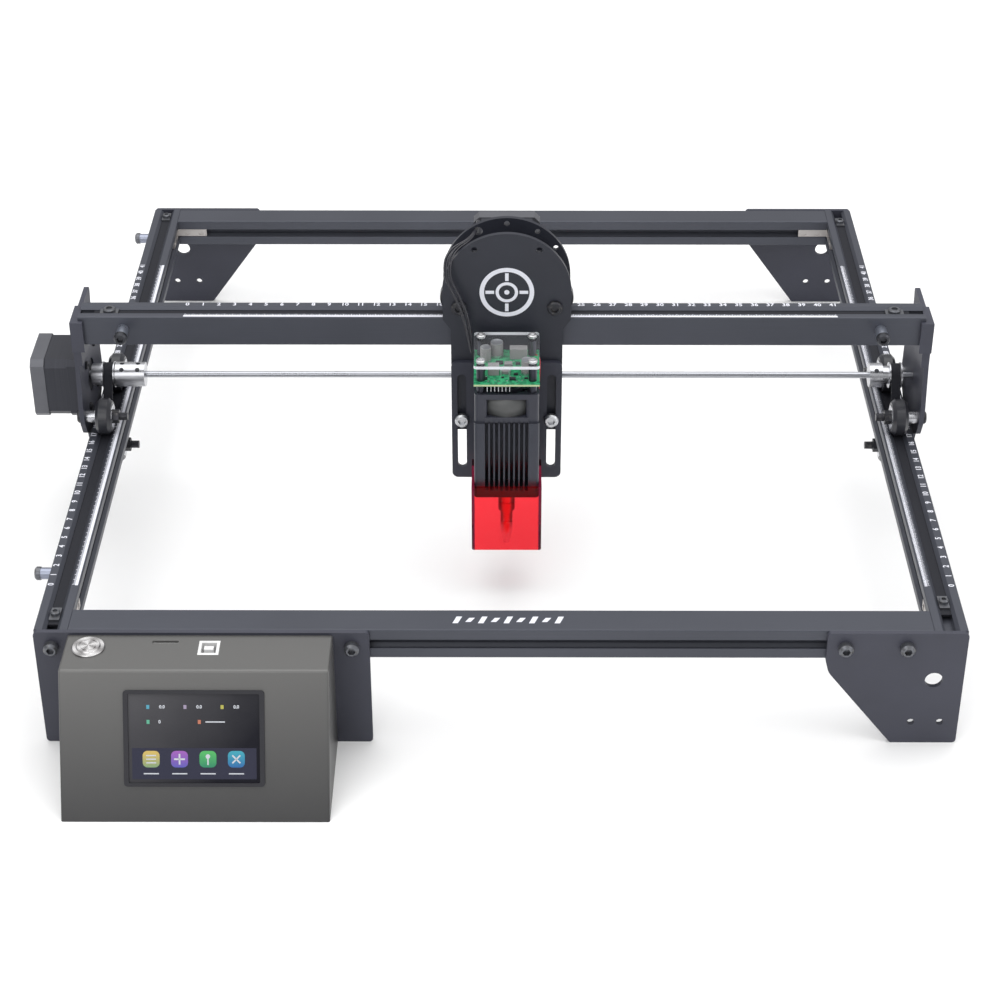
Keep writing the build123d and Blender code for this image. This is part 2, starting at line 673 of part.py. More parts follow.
# ---- belt, clamps and stops on the beam ----------------------------------------------------
X_BELT_TOP = BEAM_TOP + WHEEL_RISE - WHEEL_R - BELT_GAP
X_CLAMP = 248.3
save(flat_belt(level(X_BELT_TOP - BELT_T, 0, BEAM_Y), 516, (-X_CLAMP, X_CLAMP)), "x_belt")
save(belt_clamp(level(X_BELT_TOP, 0, BEAM_Y), [(-X_CLAMP, 0), (X_CLAMP, 0)], 6.0, 11.5,
                3.9), "x_belt_clamps")
stop_points = [(-239, 165.0), (239, 165.0)]
BEAM_FRONT = BEAM_Y - BAR / 2
stop_sleeves = tubes(upright(BEAM_FRONT), stop_points, 3.6, M4_R, 10.2)
stop_heads = screws(upright(BEAM_FRONT - 10.2), stop_points, 4.2, 3.5, M4_R, 10.2)
save(together(stop_sleeves, stop_heads), "beam_stop_posts")

# ---- carriage: two disc-topped plates with the wheels between them ----------------------------
X_AXLE_Z = BEAM_TOP + WHEEL_RISE
X_LOW_Z = BEAM_TOP - BAR - WHEEL_RISE
X_DRIVE_Z = BEAM_TOP + PULLEY_RISE
X_AXLES = [(-WHEEL_PITCH / 2, X_AXLE_Z), (WHEEL_PITCH / 2, X_AXLE_Z), (0, X_LOW_Z)]
CLAMP_POINTS = [(-SLOT_OFF, CLAMP_Z), (SLOT_OFF, CLAMP_Z)]
LEAD_HOLE_R = 36.0       # from the rear disc's centre to the hole the leads pass
lead_x = LEAD_HOLE_R * cos(radians(120))
lead_z = REAR_DISC_Z + LEAD_HOLE_R * sin(radians(120))


def disc_plate(plane, disc_z, bottom):
    """Plate with a round top on straight shoulders that step in to a narrower neck."""
    half = NECK_W / 2
    with BuildPart() as plate:
        with BuildSketch(plane):
            with Locations((0, disc_z)):
                Circle(DISC_R)
            with BuildLine():
                FilletPolyline((-DISC_R, disc_z), (-DISC_R, 175), (-half, 168), (-half, bottom),
                               (half, bottom), (half, 168), (DISC_R, 175), (DISC_R, disc_z),
                               radius=(0, 3, 3, 3, 3, 3, 3, 0), close=True)
            make_face()
            with Locations(*X_AXLES):
                Circle(AXLE_R, mode=Mode.SUBTRACT)
        extrude(amount=-PLATE_T)
    return plate.part


with BuildPart() as front_carriage_plate:
    add(disc_plate(upright(CAR_FRONT, CAR_X), FRONT_DISC_Z, NECK_BOTTOM))
    with BuildSketch(upright(CAR_FRONT, CAR_X)):
        with Locations((-20, FRONT_DISC_Z + 29.3), (20, FRONT_DISC_Z + 29.3)):
            Circle(1.9)
        with Locations(*CLAMP_POINTS):
            Circle(M4_R)
    extrude(amount=-PLATE_T, mode=Mode.SUBTRACT)
save(front_carriage_plate.part, "front_carriage_plate")

REAR_FACE = CAR_BACK - PLATE_T
with BuildPart() as rear_carriage_plate:
    add(disc_plate(upright(REAR_FACE, CAR_X), REAR_DISC_Z, 130.0))
    with BuildSketch(upright(REAR_FACE, CAR_X, REAR_DISC_Z)):
        for turn in (90.0, 58.0, 32.5):
            with Locations((36.5 * cos(radians(turn)), 36.5 * sin(radians(turn)))):
                Circle(1.7)
        with Locations((lead_x, lead_z - REAR_DISC_Z)):
            Circle(2.8)
        with Locations((0, X_DRIVE_Z - REAR_DISC_Z)):
            Circle(11.0)
            with Locations(*MOTOR_POINTS):
                Circle(M3_R)
    extrude(amount=-PLATE_T, mode=Mode.SUBTRACT)
save(rear_carriage_plate.part, "rear_carriage_plate")

save(motor(rearward(CAR_BACK, CAR_X, X_DRIVE_Z)), "x_motor")
pulley_line = rearward(BEAM_Y, CAR_X, X_DRIVE_Z)
save(turned(pulley_line, [(-4.3, -3.4, 8.5), (-3.4, 3.4, PULLEY_R), (3.4, 4.3, 8.5),
                          (4.3, 10.5, 7.0), (10.5, 24.0, AXLE_R)], 0), "x_pulley")

axle_plane = rearward(BEAM_Y, CAR_X)
rear_axles = [(-x, z) for x, z in X_AXLES]
save(wheels(axle_plane, rear_axles[0:1]), "x_left_wheel")
save(wheels(axle_plane, rear_axles[1:2]), "x_right_wheel")
save(wheels(axle_plane, rear_axles[2:3]), "x_lower_wheel")
plate_gap = REAR_FACE - BEAM_Y - BEARING_END
front_gap = BEAM_Y - CAR_FRONT - PLATE_T - BEARING_END
front_stands = tubes(axle_plane.offset(-BEARING_END - front_gap), rear_axles, 4.0, AXLE_R, front_gap)
save(together(bearings(axle_plane, rear_axles, plate_gap), front_stands), "x_wheel_bearings")
through = CAR_BACK - CAR_FRONT
upper_bolts = screws(upright(CAR_FRONT, CAR_X), X_AXLES[0:2], 4.7, 2.8, AXLE_R, through + 4.5)
lower_bolt = screws(rearward(CAR_BACK, CAR_X), rear_axles[2:3], 4.3, 4.0, AXLE_R, through)
x_motor_screws = screws(upright(REAR_FACE, CAR_X, X_DRIVE_Z), MOTOR_POINTS, 2.7, 2.6, M3_R, 7.0)
x_nuts = nuts(rearward(CAR_BACK, CAR_X), rear_axles[0:2], 8.0, NUT_H, AXLE_R)
save(together(upper_bolts, lower_bolt, x_motor_screws, x_nuts), "carriage_screws")
save(belt_loop(upright(BEAM_Y + BELT_W / 2, CAR_X, BEAM_TOP)), "x_belt_loop")

# ---- laser head ---------------------------------------------------------------------------------
HEIGHT_T = 2.9
HEIGHT_LOW = 60.0
HEIGHT_TOP = 145.9
HEIGHT_BACK = CAR_FRONT - 0.1
HEIGHT_FRONT = HEIGHT_BACK - HEIGHT_T
slot_mid = (SLOT_LOW + SLOT_HIGH) / 2
with BuildPart() as height_plate:
    with BuildSketch(upright(HEIGHT_FRONT, CAR_X)):
        with Locations((0, (HEIGHT_LOW + HEIGHT_TOP) / 2)):
            RectangleRounded(NECK_W, HEIGHT_TOP - HEIGHT_LOW, 4.0)
        with Locations((-SLOT_OFF, slot_mid), (SLOT_OFF, slot_mid)):
            SlotOverall(SLOT_HIGH - SLOT_LOW, 5.7, rotation=90, mode=Mode.SUBTRACT)
    extrude(amount=-HEIGHT_T)
    with BuildSketch(upright(HEAD_BACK, CAR_X)):
        with Locations((0, 101)):
            Rectangle(30, 50)
    extrude(amount=-(HEIGHT_FRONT - HEAD_BACK))
save(height_plate.part, "height_plate")
save(screws(upright(HEIGHT_FRONT - 0.1, CAR_X), CLAMP_POINTS, 4.6, 3.2, M4_R, HEIGHT_T + 0.2 + 4.5),
     "height_bolts")

FIN_FROM = 79.0
GAPS = 9
GAP_W = 2.1
FIN_PITCH = 3.12
FIN_DEEP = 13.0
BACK_FIN_DEEP = 2.5
with BuildPart() as heat_sink:
    with BuildSketch(level(SINK_BOTTOM, CAR_X, HEAD_Y)):
        RectangleRounded(HEAD_W, HEAD_BACK - HEAD_FRONT, 2.2)
    extrude(amount=SINK_TOP - SINK_BOTTOM)
    with BuildSketch(level(FIN_FROM, CAR_X, HEAD_FRONT + FIN_DEEP / 2 - 1)):
        with GridLocations(FIN_PITCH, 1, GAPS, 1):
            Rectangle(GAP_W, FIN_DEEP + 2)
    extrude(amount=SINK_TOP - FIN_FROM, mode=Mode.SUBTRACT)
    with BuildSketch(level(FIN_FROM, CAR_X, HEAD_BACK)):
        with GridLocations(FIN_PITCH, 1, GAPS, 1):
            Rectangle(GAP_W, 2 * BACK_FIN_DEEP)
    extrude(amount=SINK_TOP - FIN_FROM, mode=Mode.SUBTRACT)
    with BuildSketch(level(SINK_BOTTOM, CAR_X, NOZZLE_Y)):
        Circle(4.0)
    extrude(amount=4, mode=Mode.SUBTRACT)
save(heat_sink.part, "heat_sink")

FAN = 40.0
FLANGE = 3.6
FAN_PITCH = 32.0
POST = 8.0
with BuildPart() as fan_frame:
    for low in (SINK_TOP, FAN_TOP - FLANGE):
        with BuildSketch(level(low, CAR_X, HEAD_Y)):
            RectangleRounded(FAN, FAN, 3.0)
        extrude(amount=FLANGE)
    with BuildSketch(level(SINK_TOP, CAR_X, HEAD_Y)):
        Circle(FAN / 2 - 0.2)
        with GridLocations(FAN - POST, FAN - POST, 2, 2):
            RectangleRounded(POST, POST, 2.4)
    extrude(amount=FAN_TOP - SINK_TOP)
    with BuildSketch(level(SINK_TOP, CAR_X, HEAD_Y)):
        Circle(18.8)
    extrude(amount=FAN_TOP - SINK_TOP, mode=Mode.SUBTRACT)
    with BuildSketch(level(SINK_TOP, CAR_X, HEAD_Y)):
        Circle(11.5)
        with PolarLocations(0, 4):
            with Locations((15.2, 0)):
                Rectangle(8.2, 2.0)
    extrude(amount=2.0)
save(fan_frame.part, "fan_frame")

BLADES = 7
HUB_R = 11.2
BLADE_R = 18.2
with BuildPart() as fan_rotor:
    with BuildSketch(level(SINK_TOP + 2.6, CAR_X, HEAD_Y)):
        Circle(HUB_R)
    extrude(amount=FAN_TOP - SINK_TOP - 3.8)
    fillet(fan_rotor.faces().sort_by(Axis.Z)[-1].edges(), 1.2)
    for blade in range(BLADES):
        lean = Plane(level((SINK_TOP + FAN_TOP) / 2, CAR_X, HEAD_Y).location
                     * Location((0, 0, 0), (0, 0, blade * 360 / BLADES))
                     * Location((HUB_R - 1.0, 0, 0), (0, 90, 0))
                     * Location((0, 0, 0), (0, 0, 38)))
        with BuildSketch(lean):
            Rectangle(15.0, 1.3)
        extrude(amount=BLADE_R - HUB_R + 0.4)
    with BuildSketch(level(SINK_TOP + 2.6, CAR_X, HEAD_Y)):
        Circle(BLADE_R)
    extrude(amount=FAN_TOP - SINK_TOP - 3.8, mode=Mode.INTERSECT)
save(fan_rotor.part, "fan_rotor")

corner_points = [(x, y) for x in (-FAN_PITCH / 2, FAN_PITCH / 2)
                 for y in (-FAN_PITCH / 2, FAN_PITCH / 2)]
with BuildPart() as driver_board:
    with BuildSketch(level(BOARD_Z, CAR_X, HEAD_Y)):
        Rectangle(HEAD_W, HEAD_BACK - HEAD_FRONT)
        with Locations(*corner_points):
            Circle(M3_R, mode=Mode.SUBTRACT)
    extrude(amount=1.6)
save(driver_board.part, "driver_board")

BOARD_TOP = BOARD_Z + 1.6
TALL_CANS = [(-6.2, 14.5, 4.0), (-13.2, 8.2, 3.4), (12.6, -7.6, 3.6)]
BLOCKS = [(7.4, 12.3, 11.0, 5.6, 7.0), (-8.1, -7.2, 7.0, 7.0, 5.3), (-0.6, -7.0, 6.0, 4.2, 1.8),
          (15.5, 2.5, 5.0, 6.0, 2.2), (1.0, 2.5, 5.0, 4.0, 1.6)]
with BuildPart() as board_components:
    for x, y, radius in TALL_CANS:
        with BuildSketch(level(BOARD_TOP, CAR_X + x, HEAD_Y + y)):
            Circle(radius)
        extrude(amount=9.4)
    for x, y, wide, deep, high in BLOCKS:
        with BuildSketch(level(BOARD_TOP, CAR_X + x, HEAD_Y + y)):
            RectangleRounded(wide, deep, 0.5)
        extrude(amount=high)
save(board_components.part, "board_components")

with BuildPart() as acrylic_cover:
    with BuildSketch(level(COVER_Z, CAR_X, HEAD_Y)):
        RectangleRounded(HEAD_W, HEAD_BACK - HEAD_FRONT, 2.0)
        with Locations(*corner_points):
            Circle(M3_R, mode=Mode.SUBTRACT)
    extrude(amount=COVER_T)
save(acrylic_cover.part, "acrylic_cover")

low_posts = tubes(level(FAN_TOP, CAR_X, HEAD_Y), corner_points, 2.6, M3_R, BOARD_Z - FAN_TOP)
high_posts = tubes(level(BOARD_TOP, CAR_X, HEAD_Y), corner_points, 2.6, M3_R, COVER_Z - BOARD_TOP)
cover_screws = screws(level(COVER_Z + COVER_T, CAR_X, HEAD_Y), corner_points, 2.9, 1.9, M3_R,
                      COVER_Z + COVER_T - FAN_TOP)
save(together(low_posts, high_posts, cover_screws), "standoffs")

NOZZLE_STEP = 59.6
NOZZLE_TIP = 34.1
with BuildPart() as nozzle:
    with BuildSketch(Plane(origin=(DATUM_X + CAR_X, DATUM_Y + NOZZLE_Y, 0), x_dir=(1, 0, 0),
                           z_dir=(0, -1, 0))):
        with BuildLine():
            Polyline((1.3, NOZZLE_TIP), (2.1, NOZZLE_TIP), (3.9, NOZZLE_TIP + 9.0), (3.9, 50.6),
                     (3.6, 50.9), (3.6, 51.8), (3.9, 52.1), (3.9, NOZZLE_STEP), (5.3, NOZZLE_STEP),
                     (5.3, 66.0), (5.0, 66.3), (5.0, 67.2), (5.3, 67.5), (5.3, SINK_BOTTOM),
                     (2.5, SINK_BOTTOM), (2.5, NOZZLE_STEP), (1.3, NOZZLE_TIP + 6), close=True)
        make_face()
    revolve(axis=Axis((DATUM_X + CAR_X, DATUM_Y + NOZZLE_Y, 0), (0, 0, 1)))
save(nozzle.part, "nozzle")

shield_in = HEAD_W / 2
shield_out = shield_in + SHIELD_T
SHIELD_FRONT = HEAD_FRONT - 4.0
with BuildPart() as laser_shield:
    with BuildSketch(level(SHIELD_LOW, CAR_X)):
        Polygon((-shield_out, SHIELD_FRONT), (shield_out, SHIELD_FRONT), (shield_out, SHIELD_BACK),
                (shield_in, SHIELD_BACK), (shield_in, SHIELD_FRONT + SHIELD_T),
                (-shield_in, SHIELD_FRONT + SHIELD_T), (-shield_in, SHIELD_BACK),
                (-shield_out, SHIELD_BACK), align=None)
    extrude(amount=SHIELD_TOP - SHIELD_LOW)
    lowest = laser_shield.edges().filter_by(Axis.Y).sort_by(Axis.Z)[:4].sort_by(Axis.X)
    fillet([lowest[0], lowest[-1]], 1.4)
save(laser_shield.part, "laser_shield")

# ---- leads from the rear plate's hole down to the driver board ---------------------------------------
LEAD_R = 1.1
LEAD_ROUTE = [(lead_x, 240.0, lead_z), (lead_x - 1, 216.0, lead_z + 1.5), (-35.5, 199.5, 222.5),
              (-37.5, 191.5, 209.0), (-30.5, 190.0, 195.5), (-24.5, 189.5, 178.0),
              (-21.8, 187.0, 158.0)]
lead_points = [(DATUM_X + CAR_X + x, DATUM_Y + y, z) for x, y, z in LEAD_ROUTE]
lead_radii = []
for a, b, c in zip(lead_points, lead_points[1:], lead_points[2:]):
    turn = (Vector(b) - Vector(a)).get_angle(Vector(c) - Vector(b))
    run = min((Vector(b) - Vector(a)).length, (Vector(c) - Vector(b)).length)
    lead_radii.append(0.45 * run / (sin(radians(turn / 2)) / cos(radians(turn / 2))))
with BuildPart() as head_leads:
    with BuildLine() as lead_path:
        FilletPolyline(*lead_points, radius=lead_radii)
    with BuildSketch(Plane(origin=lead_path.line @ 0, z_dir=lead_path.line % 0)):
        Circle(LEAD_R)
    sweep(path=lead_path.line)
save(head_leads.part, "head_leads")
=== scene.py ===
from math import cos, pi, radians, sin

import bmesh
import bpy
from mathutils import Matrix, Vector


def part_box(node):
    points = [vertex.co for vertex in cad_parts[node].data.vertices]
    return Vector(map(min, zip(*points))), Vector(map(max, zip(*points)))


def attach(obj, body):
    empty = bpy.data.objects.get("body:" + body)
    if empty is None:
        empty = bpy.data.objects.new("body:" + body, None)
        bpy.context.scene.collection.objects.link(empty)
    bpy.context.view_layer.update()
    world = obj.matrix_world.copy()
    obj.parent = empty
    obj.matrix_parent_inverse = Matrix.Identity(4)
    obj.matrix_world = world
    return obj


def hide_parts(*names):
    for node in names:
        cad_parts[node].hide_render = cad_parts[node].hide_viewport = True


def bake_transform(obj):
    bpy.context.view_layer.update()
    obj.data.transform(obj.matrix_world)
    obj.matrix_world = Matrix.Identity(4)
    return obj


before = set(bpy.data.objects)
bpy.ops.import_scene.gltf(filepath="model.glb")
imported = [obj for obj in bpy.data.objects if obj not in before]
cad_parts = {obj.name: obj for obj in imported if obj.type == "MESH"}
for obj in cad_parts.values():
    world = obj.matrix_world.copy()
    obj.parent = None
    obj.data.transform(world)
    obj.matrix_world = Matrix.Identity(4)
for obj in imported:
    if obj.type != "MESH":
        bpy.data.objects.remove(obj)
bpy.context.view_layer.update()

# The desktop laser cutter's finishes and its small printed, moulded and wired details.
# Sizes are millimetres in the machine's own layout: x from its middle, y from the front
# ends of the side rails, z from the floor. at() turns them into the frame's metres.
MM = 0.001
rail_low, rail_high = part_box("right_rail")
RAIL_SIDE = 270.0
DATUM = Vector((rail_high[0] / MM - RAIL_SIDE, rail_low[1] / MM, 0.0))

RAIL_TOP = 80.0
RAIL_X = 260.0
BEAM_TOP = 173.8
BEAM_FRONT = 203.7
CARRIAGE_X = 3.2
PLATE_FRONT = 198.6      # front face of the front carriage plate
FRONT_DISC_Z = 194.4     # middle of its round top
REAR_DISC_Z = 191.9
HEAD_Y = 171.7
HEAD_HALF = 20.1         # from the head's middle to its leads' side
SHIELD_WALL = 20.25      # from the shield's middle into its side walls
COVER_FACE = 168.9       # the standoffs' bright screws start here
STOP_FACE = 193.5        # the stop posts' black heads end here
MOTOR_ENDS = (-298.5, 252.3)
DRIVE_Y = 252.0          # drive shaft
DRIVE_Z = 104.6
BOX_TOP = 78.3           # control box
DISPLAY_X = -173.6
PRINT = 0.06             # thickness of screen-printed ink


def at(x, y, z):
    return (Vector((x, y, z)) + DATUM) * MM


def frame_x(x):
    return (x + DATUM.x) * MM


def frame_y(y):
    return (y + DATUM.y) * MM


def placed(x, y, z, across=(1, 0, 0), up=(0, 1, 0)):
    """Matrix that lays a millimetre drawing on a surface at x, y, z."""
    a = Vector(across).normalized()
    b = Vector(up).normalized()
    turned = Matrix((a, b, a.cross(b))).transposed().to_4x4()
    return Matrix.Translation(at(x, y, z)) @ turned @ Matrix.Scale(MM, 4)


# ---- camera ------------------------------------------------------------------------
def set_camera():
    lens = bpy.data.cameras.new("camera")
    lens.lens = 82.8
    lens.sensor_width = 36.0
    lens.clip_start = 0.05
    eye = bpy.data.objects.new("camera", lens)
    bpy.context.scene.collection.objects.link(eye)
    eye.location = at(2.1, -1070.4, 867.5)
    aim = at(-1.2, 260.2, 0.0) - eye.location
    eye.rotation_euler = aim.to_track_quat("-Z", "Y").to_euler()
    bpy.context.scene.camera = eye


# ---- finishes -----------------------------------------------------------------------
class Value:
    """A shader value that can be used in plain arithmetic."""

    def __init__(self, finish, socket):
        self.finish = finish
        self.socket = socket

    def maths(self, operation, first, second):
        return self.finish.maths(operation, first, second)

    def __add__(self, other):
        return self.maths("ADD", self, other)

    def __mul__(self, other):
        return self.maths("MULTIPLY", self, other)

    def __sub__(self, other):
        return self.maths("SUBTRACT", self, other)

    def __rsub__(self, other):
        return self.maths("SUBTRACT", other, self)

    __radd__ = __add__
    __rmul__ = __mul__

    def over(self, limit):
        return self.maths("GREATER_THAN", self, limit)

    def below(self, limit):
        return self.maths("LESS_THAN", self, limit)

    def size(self):
        return self.maths("ABSOLUTE", self, 0.0)


class Finish:
    """A material that is built up from expressions on shader values."""

    def __init__(self, name, **sockets):
        self.material = bpy.data.materials.new(name)
        self.material.use_nodes = True
        self.tree = self.material.node_tree
        self.shader = self.tree.nodes["Principled BSDF"]
        for socket, value in sockets.items():
            self.set(socket.replace("_", " ").title().replace("Ior", "IOR"), value)
        self.position = self.node("ShaderNodeTexCoord", output="Object")

    def node(self, kind, settings=None, inputs=None, output=0):
        made = self.tree.nodes.new(kind)
        for key, value in (settings or {}).items():
            if key == "stops":
                for stop, (place, colour) in zip(made.color_ramp.elements, value):
                    stop.position = place
                    stop.color = colour
            else:
                setattr(made, key, value)
        for socket, value in (inputs or {}).items():
            self.feed(made.inputs[socket], value)
        return Value(self, made.outputs[output])

    def maths(self, operation, first, second):
        return self.node("ShaderNodeMath", {"operation": operation}, {0: first, 1: second})

    def feed(self, socket, value):
        if isinstance(value, Value):
            self.tree.links.new(value.socket, socket)
        else:
            socket.default_value = value

    def set(self, socket, value):
        self.feed(self.shader.inputs[socket], value)

    def along(self, axis, start=0.0, of=None):
        """One coordinate of the surface, measured from start."""
        place = self.node("ShaderNodeSeparateXYZ", {}, {0: of or self.position}, "XYZ".index(axis))
        return place - start

    def noise(self, scale, detail=3.0, stretch=(1, 1, 1)):
        where = self.node("ShaderNodeMapping", {}, {"Vector": self.position, "Scale": stretch})
        return self.node("ShaderNodeTexNoise", {}, {"Vector": where, "Scale": scale,
                                                    "Detail": detail})

    def ramp(self, value, low, high):
        """0 below low, 1 above high."""
        stops = [(low, (0, 0, 0, 1)), (high, (1, 1, 1, 1))]
        return self.node("ShaderNodeValToRGB", {"stops": stops}, {0: value})

    def blend(self, mask, first, second):
        """Colour that goes from first to second as the mask goes from 0 to 1."""
        return self.node("ShaderNodeMix", {"data_type": "RGBA"}, {0: mask, 6: first, 7: second}, 2)

    def raise_by(self, height, distance, strength=1.0):
        self.set("Normal", self.node("ShaderNodeBump", {}, {"Height": height,
                                                            "Distance": distance * MM,
                                                            "Strength": strength}))


def rgb(red, green, blue):
    return (red, green, blue, 1.0)


def shade(colour, by):
    return rgb(*(min(1.0, part * by) for part in colour[:3]))


def anodised(name, colour, along, rough=0.42, metallic=0.35):
    """Anodised extrusion: die lines along the bar under a fine matt grain."""
    finish = Finish(name, metallic=metallic, specular_ior_level=0.45)
    lines = finish.noise(1.0, 2.0, tuple(9000.0 if part else 25.0 for part in along))
    cloud = finish.noise(14.0)
    finish.set("Base Color", finish.blend(finish.ramp(lines * 0.55 + cloud * 0.45, 0.3, 0.7),
                                          shade(colour, 0.88), shade(colour, 1.15)))
    finish.set("Roughness", rough - 0.05 + 0.12 * lines)
    finish.raise_by(lines, 0.006)
    return finish.material


def powder_coat(name, colour, rough=0.5, metallic=0.1):
    """Powder coat: a fine pebbled skin with faint handling marks."""
    finish = Finish(name, metallic=metallic, specular_ior_level=0.4)
    pebble = finish.noise(2600.0, 2.0)
    cloud = finish.noise(22.0, 4.0)
    finish.set("Base Color", finish.blend(finish.ramp(cloud, 0.3, 0.75), shade(colour, 0.9),
                                          shade(colour, 1.12)))
    finish.set("Roughness", rough - 0.06 + 0.14 * cloud)
    finish.raise_by(pebble, 0.02, 0.6)
    return finish.material


def box_coat():
    """The control box's satin coat, with painted shade that darkens it towards the floor."""
    finish = Finish("box_powder_coat_painted_shade", metallic=0.5, specular_ior_level=0.4)
    pebble = finish.noise(2600.0, 2.0)
    cloud = finish.noise(22.0, 4.0)
    # painted shade: the base colour runs from dark at the floor to light at the box's top, with a
    # little random tone
    height = finish.ramp(finish.along("Z") * (1.0 / (BOX_TOP * MM)) + cloud * 0.08, 0.05, 1.05)
    finish.set("Base Color", finish.blend(height, rgb(0.062, 0.062, 0.063),
                                          rgb(0.132, 0.131, 0.128)))
    finish.set("Roughness", 0.32 + 0.14 * cloud)
    finish.raise_by(pebble, 0.02, 0.6)
    return finish.material


def moulded(name, colour, rough=0.5, grain=0.015):
    """Moulded plastic with a fine spark-eroded grain."""
    finish = Finish(name, specular_ior_level=0.45)
    pebble = finish.noise(1800.0, 2.0)
    cloud = finish.noise(60.0, 3.0)
    finish.set("Base Color", finish.blend(cloud, shade(colour, 0.85), shade(colour, 1.15)))
    finish.set("Roughness", rough - 0.08 + 0.16 * cloud)
    finish.raise_by(pebble, grain, 0.5)
    return finish.material


def turned_metal(name, colour, rough=0.22, axis=(1, 0, 0)):
    """Bright turned metal: tool lines stacked along the axis, light smears."""
    finish = Finish(name, metallic=1.0)
    grooves = finish.noise(1.0, 2.0, tuple(6000.0 if part else 30.0 for part in axis))
    smear = finish.noise(40.0, 3.0)
    finish.set("Base Color", finish.blend(smear, shade(colour, 0.86), shade(colour, 1.08)))
    finish.set("Roughness", rough - 0.03 + 0.05 * grooves + 0.1 * smear)
    finish.raise_by(grooves, 0.002)
    return finish.material


def black_oxide(name, colour, rough=0.36):
    """Black-oxide steel, a little browned and worn."""
    finish = Finish(name, metallic=0.7)
    wear = finish.noise(420.0, 5.0)
    finish.set("Base Color", finish.blend(finish.ramp(wear, 0.5, 0.8), rgb(*colour),
                                          rgb(0.11, 0.105, 0.1)))
    finish.set("Roughness", rough - 0.06 + 0.2 * wear)
    finish.raise_by(wear, 0.008, 0.5)
    return finish.material


def motor_coat(name, axis, start, sign):
    """Stepper motor: dark laminations between a dark and a pale cast end."""
    finish = Finish(name, metallic=0.55)
    cloud = finish.noise(60.0, 3.0)
    layers = finish.noise(1.0, 2.0, tuple(4000.0 if part == axis else 20.0 for part in "XYZ"))
    pale = (finish.along(axis, start) * sign).over(0.0)
    dark = finish.blend(layers, rgb(0.022, 0.023, 0.03), rgb(0.05, 0.052, 0.064))
    end = finish.blend(cloud, rgb(0.1, 0.102, 0.115), rgb(0.14, 0.143, 0.16))
    finish.set("Base Color", finish.blend(pale, dark, end))
    finish.set("Roughness", 0.38 + 0.12 * layers)
    finish.raise_by(layers, 0.01)
    return finish.material


def two_metals(name, axis, start, sign, near, far):
    """One metal on this side of a line across the axis, another beyond it."""
    finish = Finish(name, metallic=0.85)
    cloud = finish.noise(200.0, 3.0)
    beyond = (finish.along(axis, start) * sign).over(0.0)
    colours = [finish.blend(cloud, shade(colour, 0.8), shade(colour, 1.2)) for colour in (near, far)]
    finish.set("Base Color", finish.blend(beyond, *colours))
    finish.set("Roughness", 0.24 + 0.1 * cloud)
    return finish.material


def belt_rubber():
    finish = Finish("belt_rubber", specular_ior_level=0.3)
    weave = finish.noise(2200.0, 2.0)
    finish.set("Base Color", finish.blend(weave, rgb(0.007, 0.0075, 0.011),
                                          rgb(0.018, 0.019, 0.026)))
    finish.set("Roughness", 0.62 + 0.2 * weave)
    finish.raise_by(weave, 0.03, 0.5)
    return finish.material


def edge_mask(finish):
    """1 on a flat sheet's upright edges, 0 on its two faces."""
    normal = finish.node("ShaderNodeNewGeometry", output="Normal")
    return finish.along("Z", of=normal).size().below(0.5)


def clear_sheet():
    """Clear cast acrylic: only hairlines on its faces, frosted bright edges."""
    finish = Finish("clear_acrylic", specular_ior_level=0.6)
    hair = finish.noise(300.0, 5.0)
    edge = edge_mask(finish)
    finish.set("Base Color", finish.blend(hair, rgb(0.78, 0.8, 0.86), rgb(0.88, 0.89, 0.94)))
    finish.set("Roughness", 0.05 + 0.05 * hair + 0.3 * edge)
    finish.set("Alpha", 0.02 + 0.02 * hair + 0.85 * edge)
    return finish.material


def red_acrylic():
    """Laser-safe acrylic: it lets red light through; painted shade makes its side walls nearly black.
    """
    finish = Finish("red_acrylic", ior=1.12, transmission_weight=0.985, coat_weight=0.1)
    hair = finish.noise(260.0, 5.0)
    # painted shade: the side walls, out past SHIELD_WALL from the middle, get a nearly black red
    shaded_walls = finish.along("X", frame_x(CARRIAGE_X)).size().over(SHIELD_WALL * MM)
    front = finish.blend(hair, rgb(0.93, 0.03, 0.045), rgb(0.97, 0.045, 0.06))
    finish.set("Base Color", finish.blend(shaded_walls, front, rgb(0.16, 0.012, 0.035)))
    finish.set("Roughness", 0.03 + 0.04 * hair)
    return finish.material


def dark_glass():
    # Dark display glass under a painted sheen: lighter towards its top left, darker towards its bottom
    # right.
    finish = Finish("display_glass", specular_ior_level=0.16)
    smear = finish.noise(35.0, 5.0)
    painted_sheen = finish.along("X", frame_x(-211.0)) * 7.0 - finish.along("Z", 67.0 * MM) * 6.0
    # glow here holds the painted sheen's colour; it is base colour, not emitted light
    glow = finish.blend(finish.ramp(painted_sheen + smear * 0.2, 0.05, 0.75), rgb(0.075, 0.074, 0.08),
                        rgb(0.007, 0.007, 0.012))
    finish.set("Base Color", glow)
    finish.set("Roughness", 0.16 + 0.12 * smear)
    return finish.material


def solder_mask():
    """Green board with faint copper runs under the mask."""
    finish = Finish("solder_mask", specular_ior_level=0.5)
    runs = finish.node("ShaderNodeTexVoronoi", {"feature": "F1", "distance": "CHEBYCHEV"},
                       {"Vector": finish.position, "Scale": 420.0})
    grain = finish.noise(900.0)
    finish.set("Base Color", finish.blend(finish.ramp(runs, 0.35, 0.5), rgb(0.012, 0.17, 0.075),
                                          rgb(0.03, 0.33, 0.14)))
    finish.set("Roughness", 0.3 + 0.15 * grain)
    finish.raise_by(runs, 0.04, 0.5)
    return finish.material


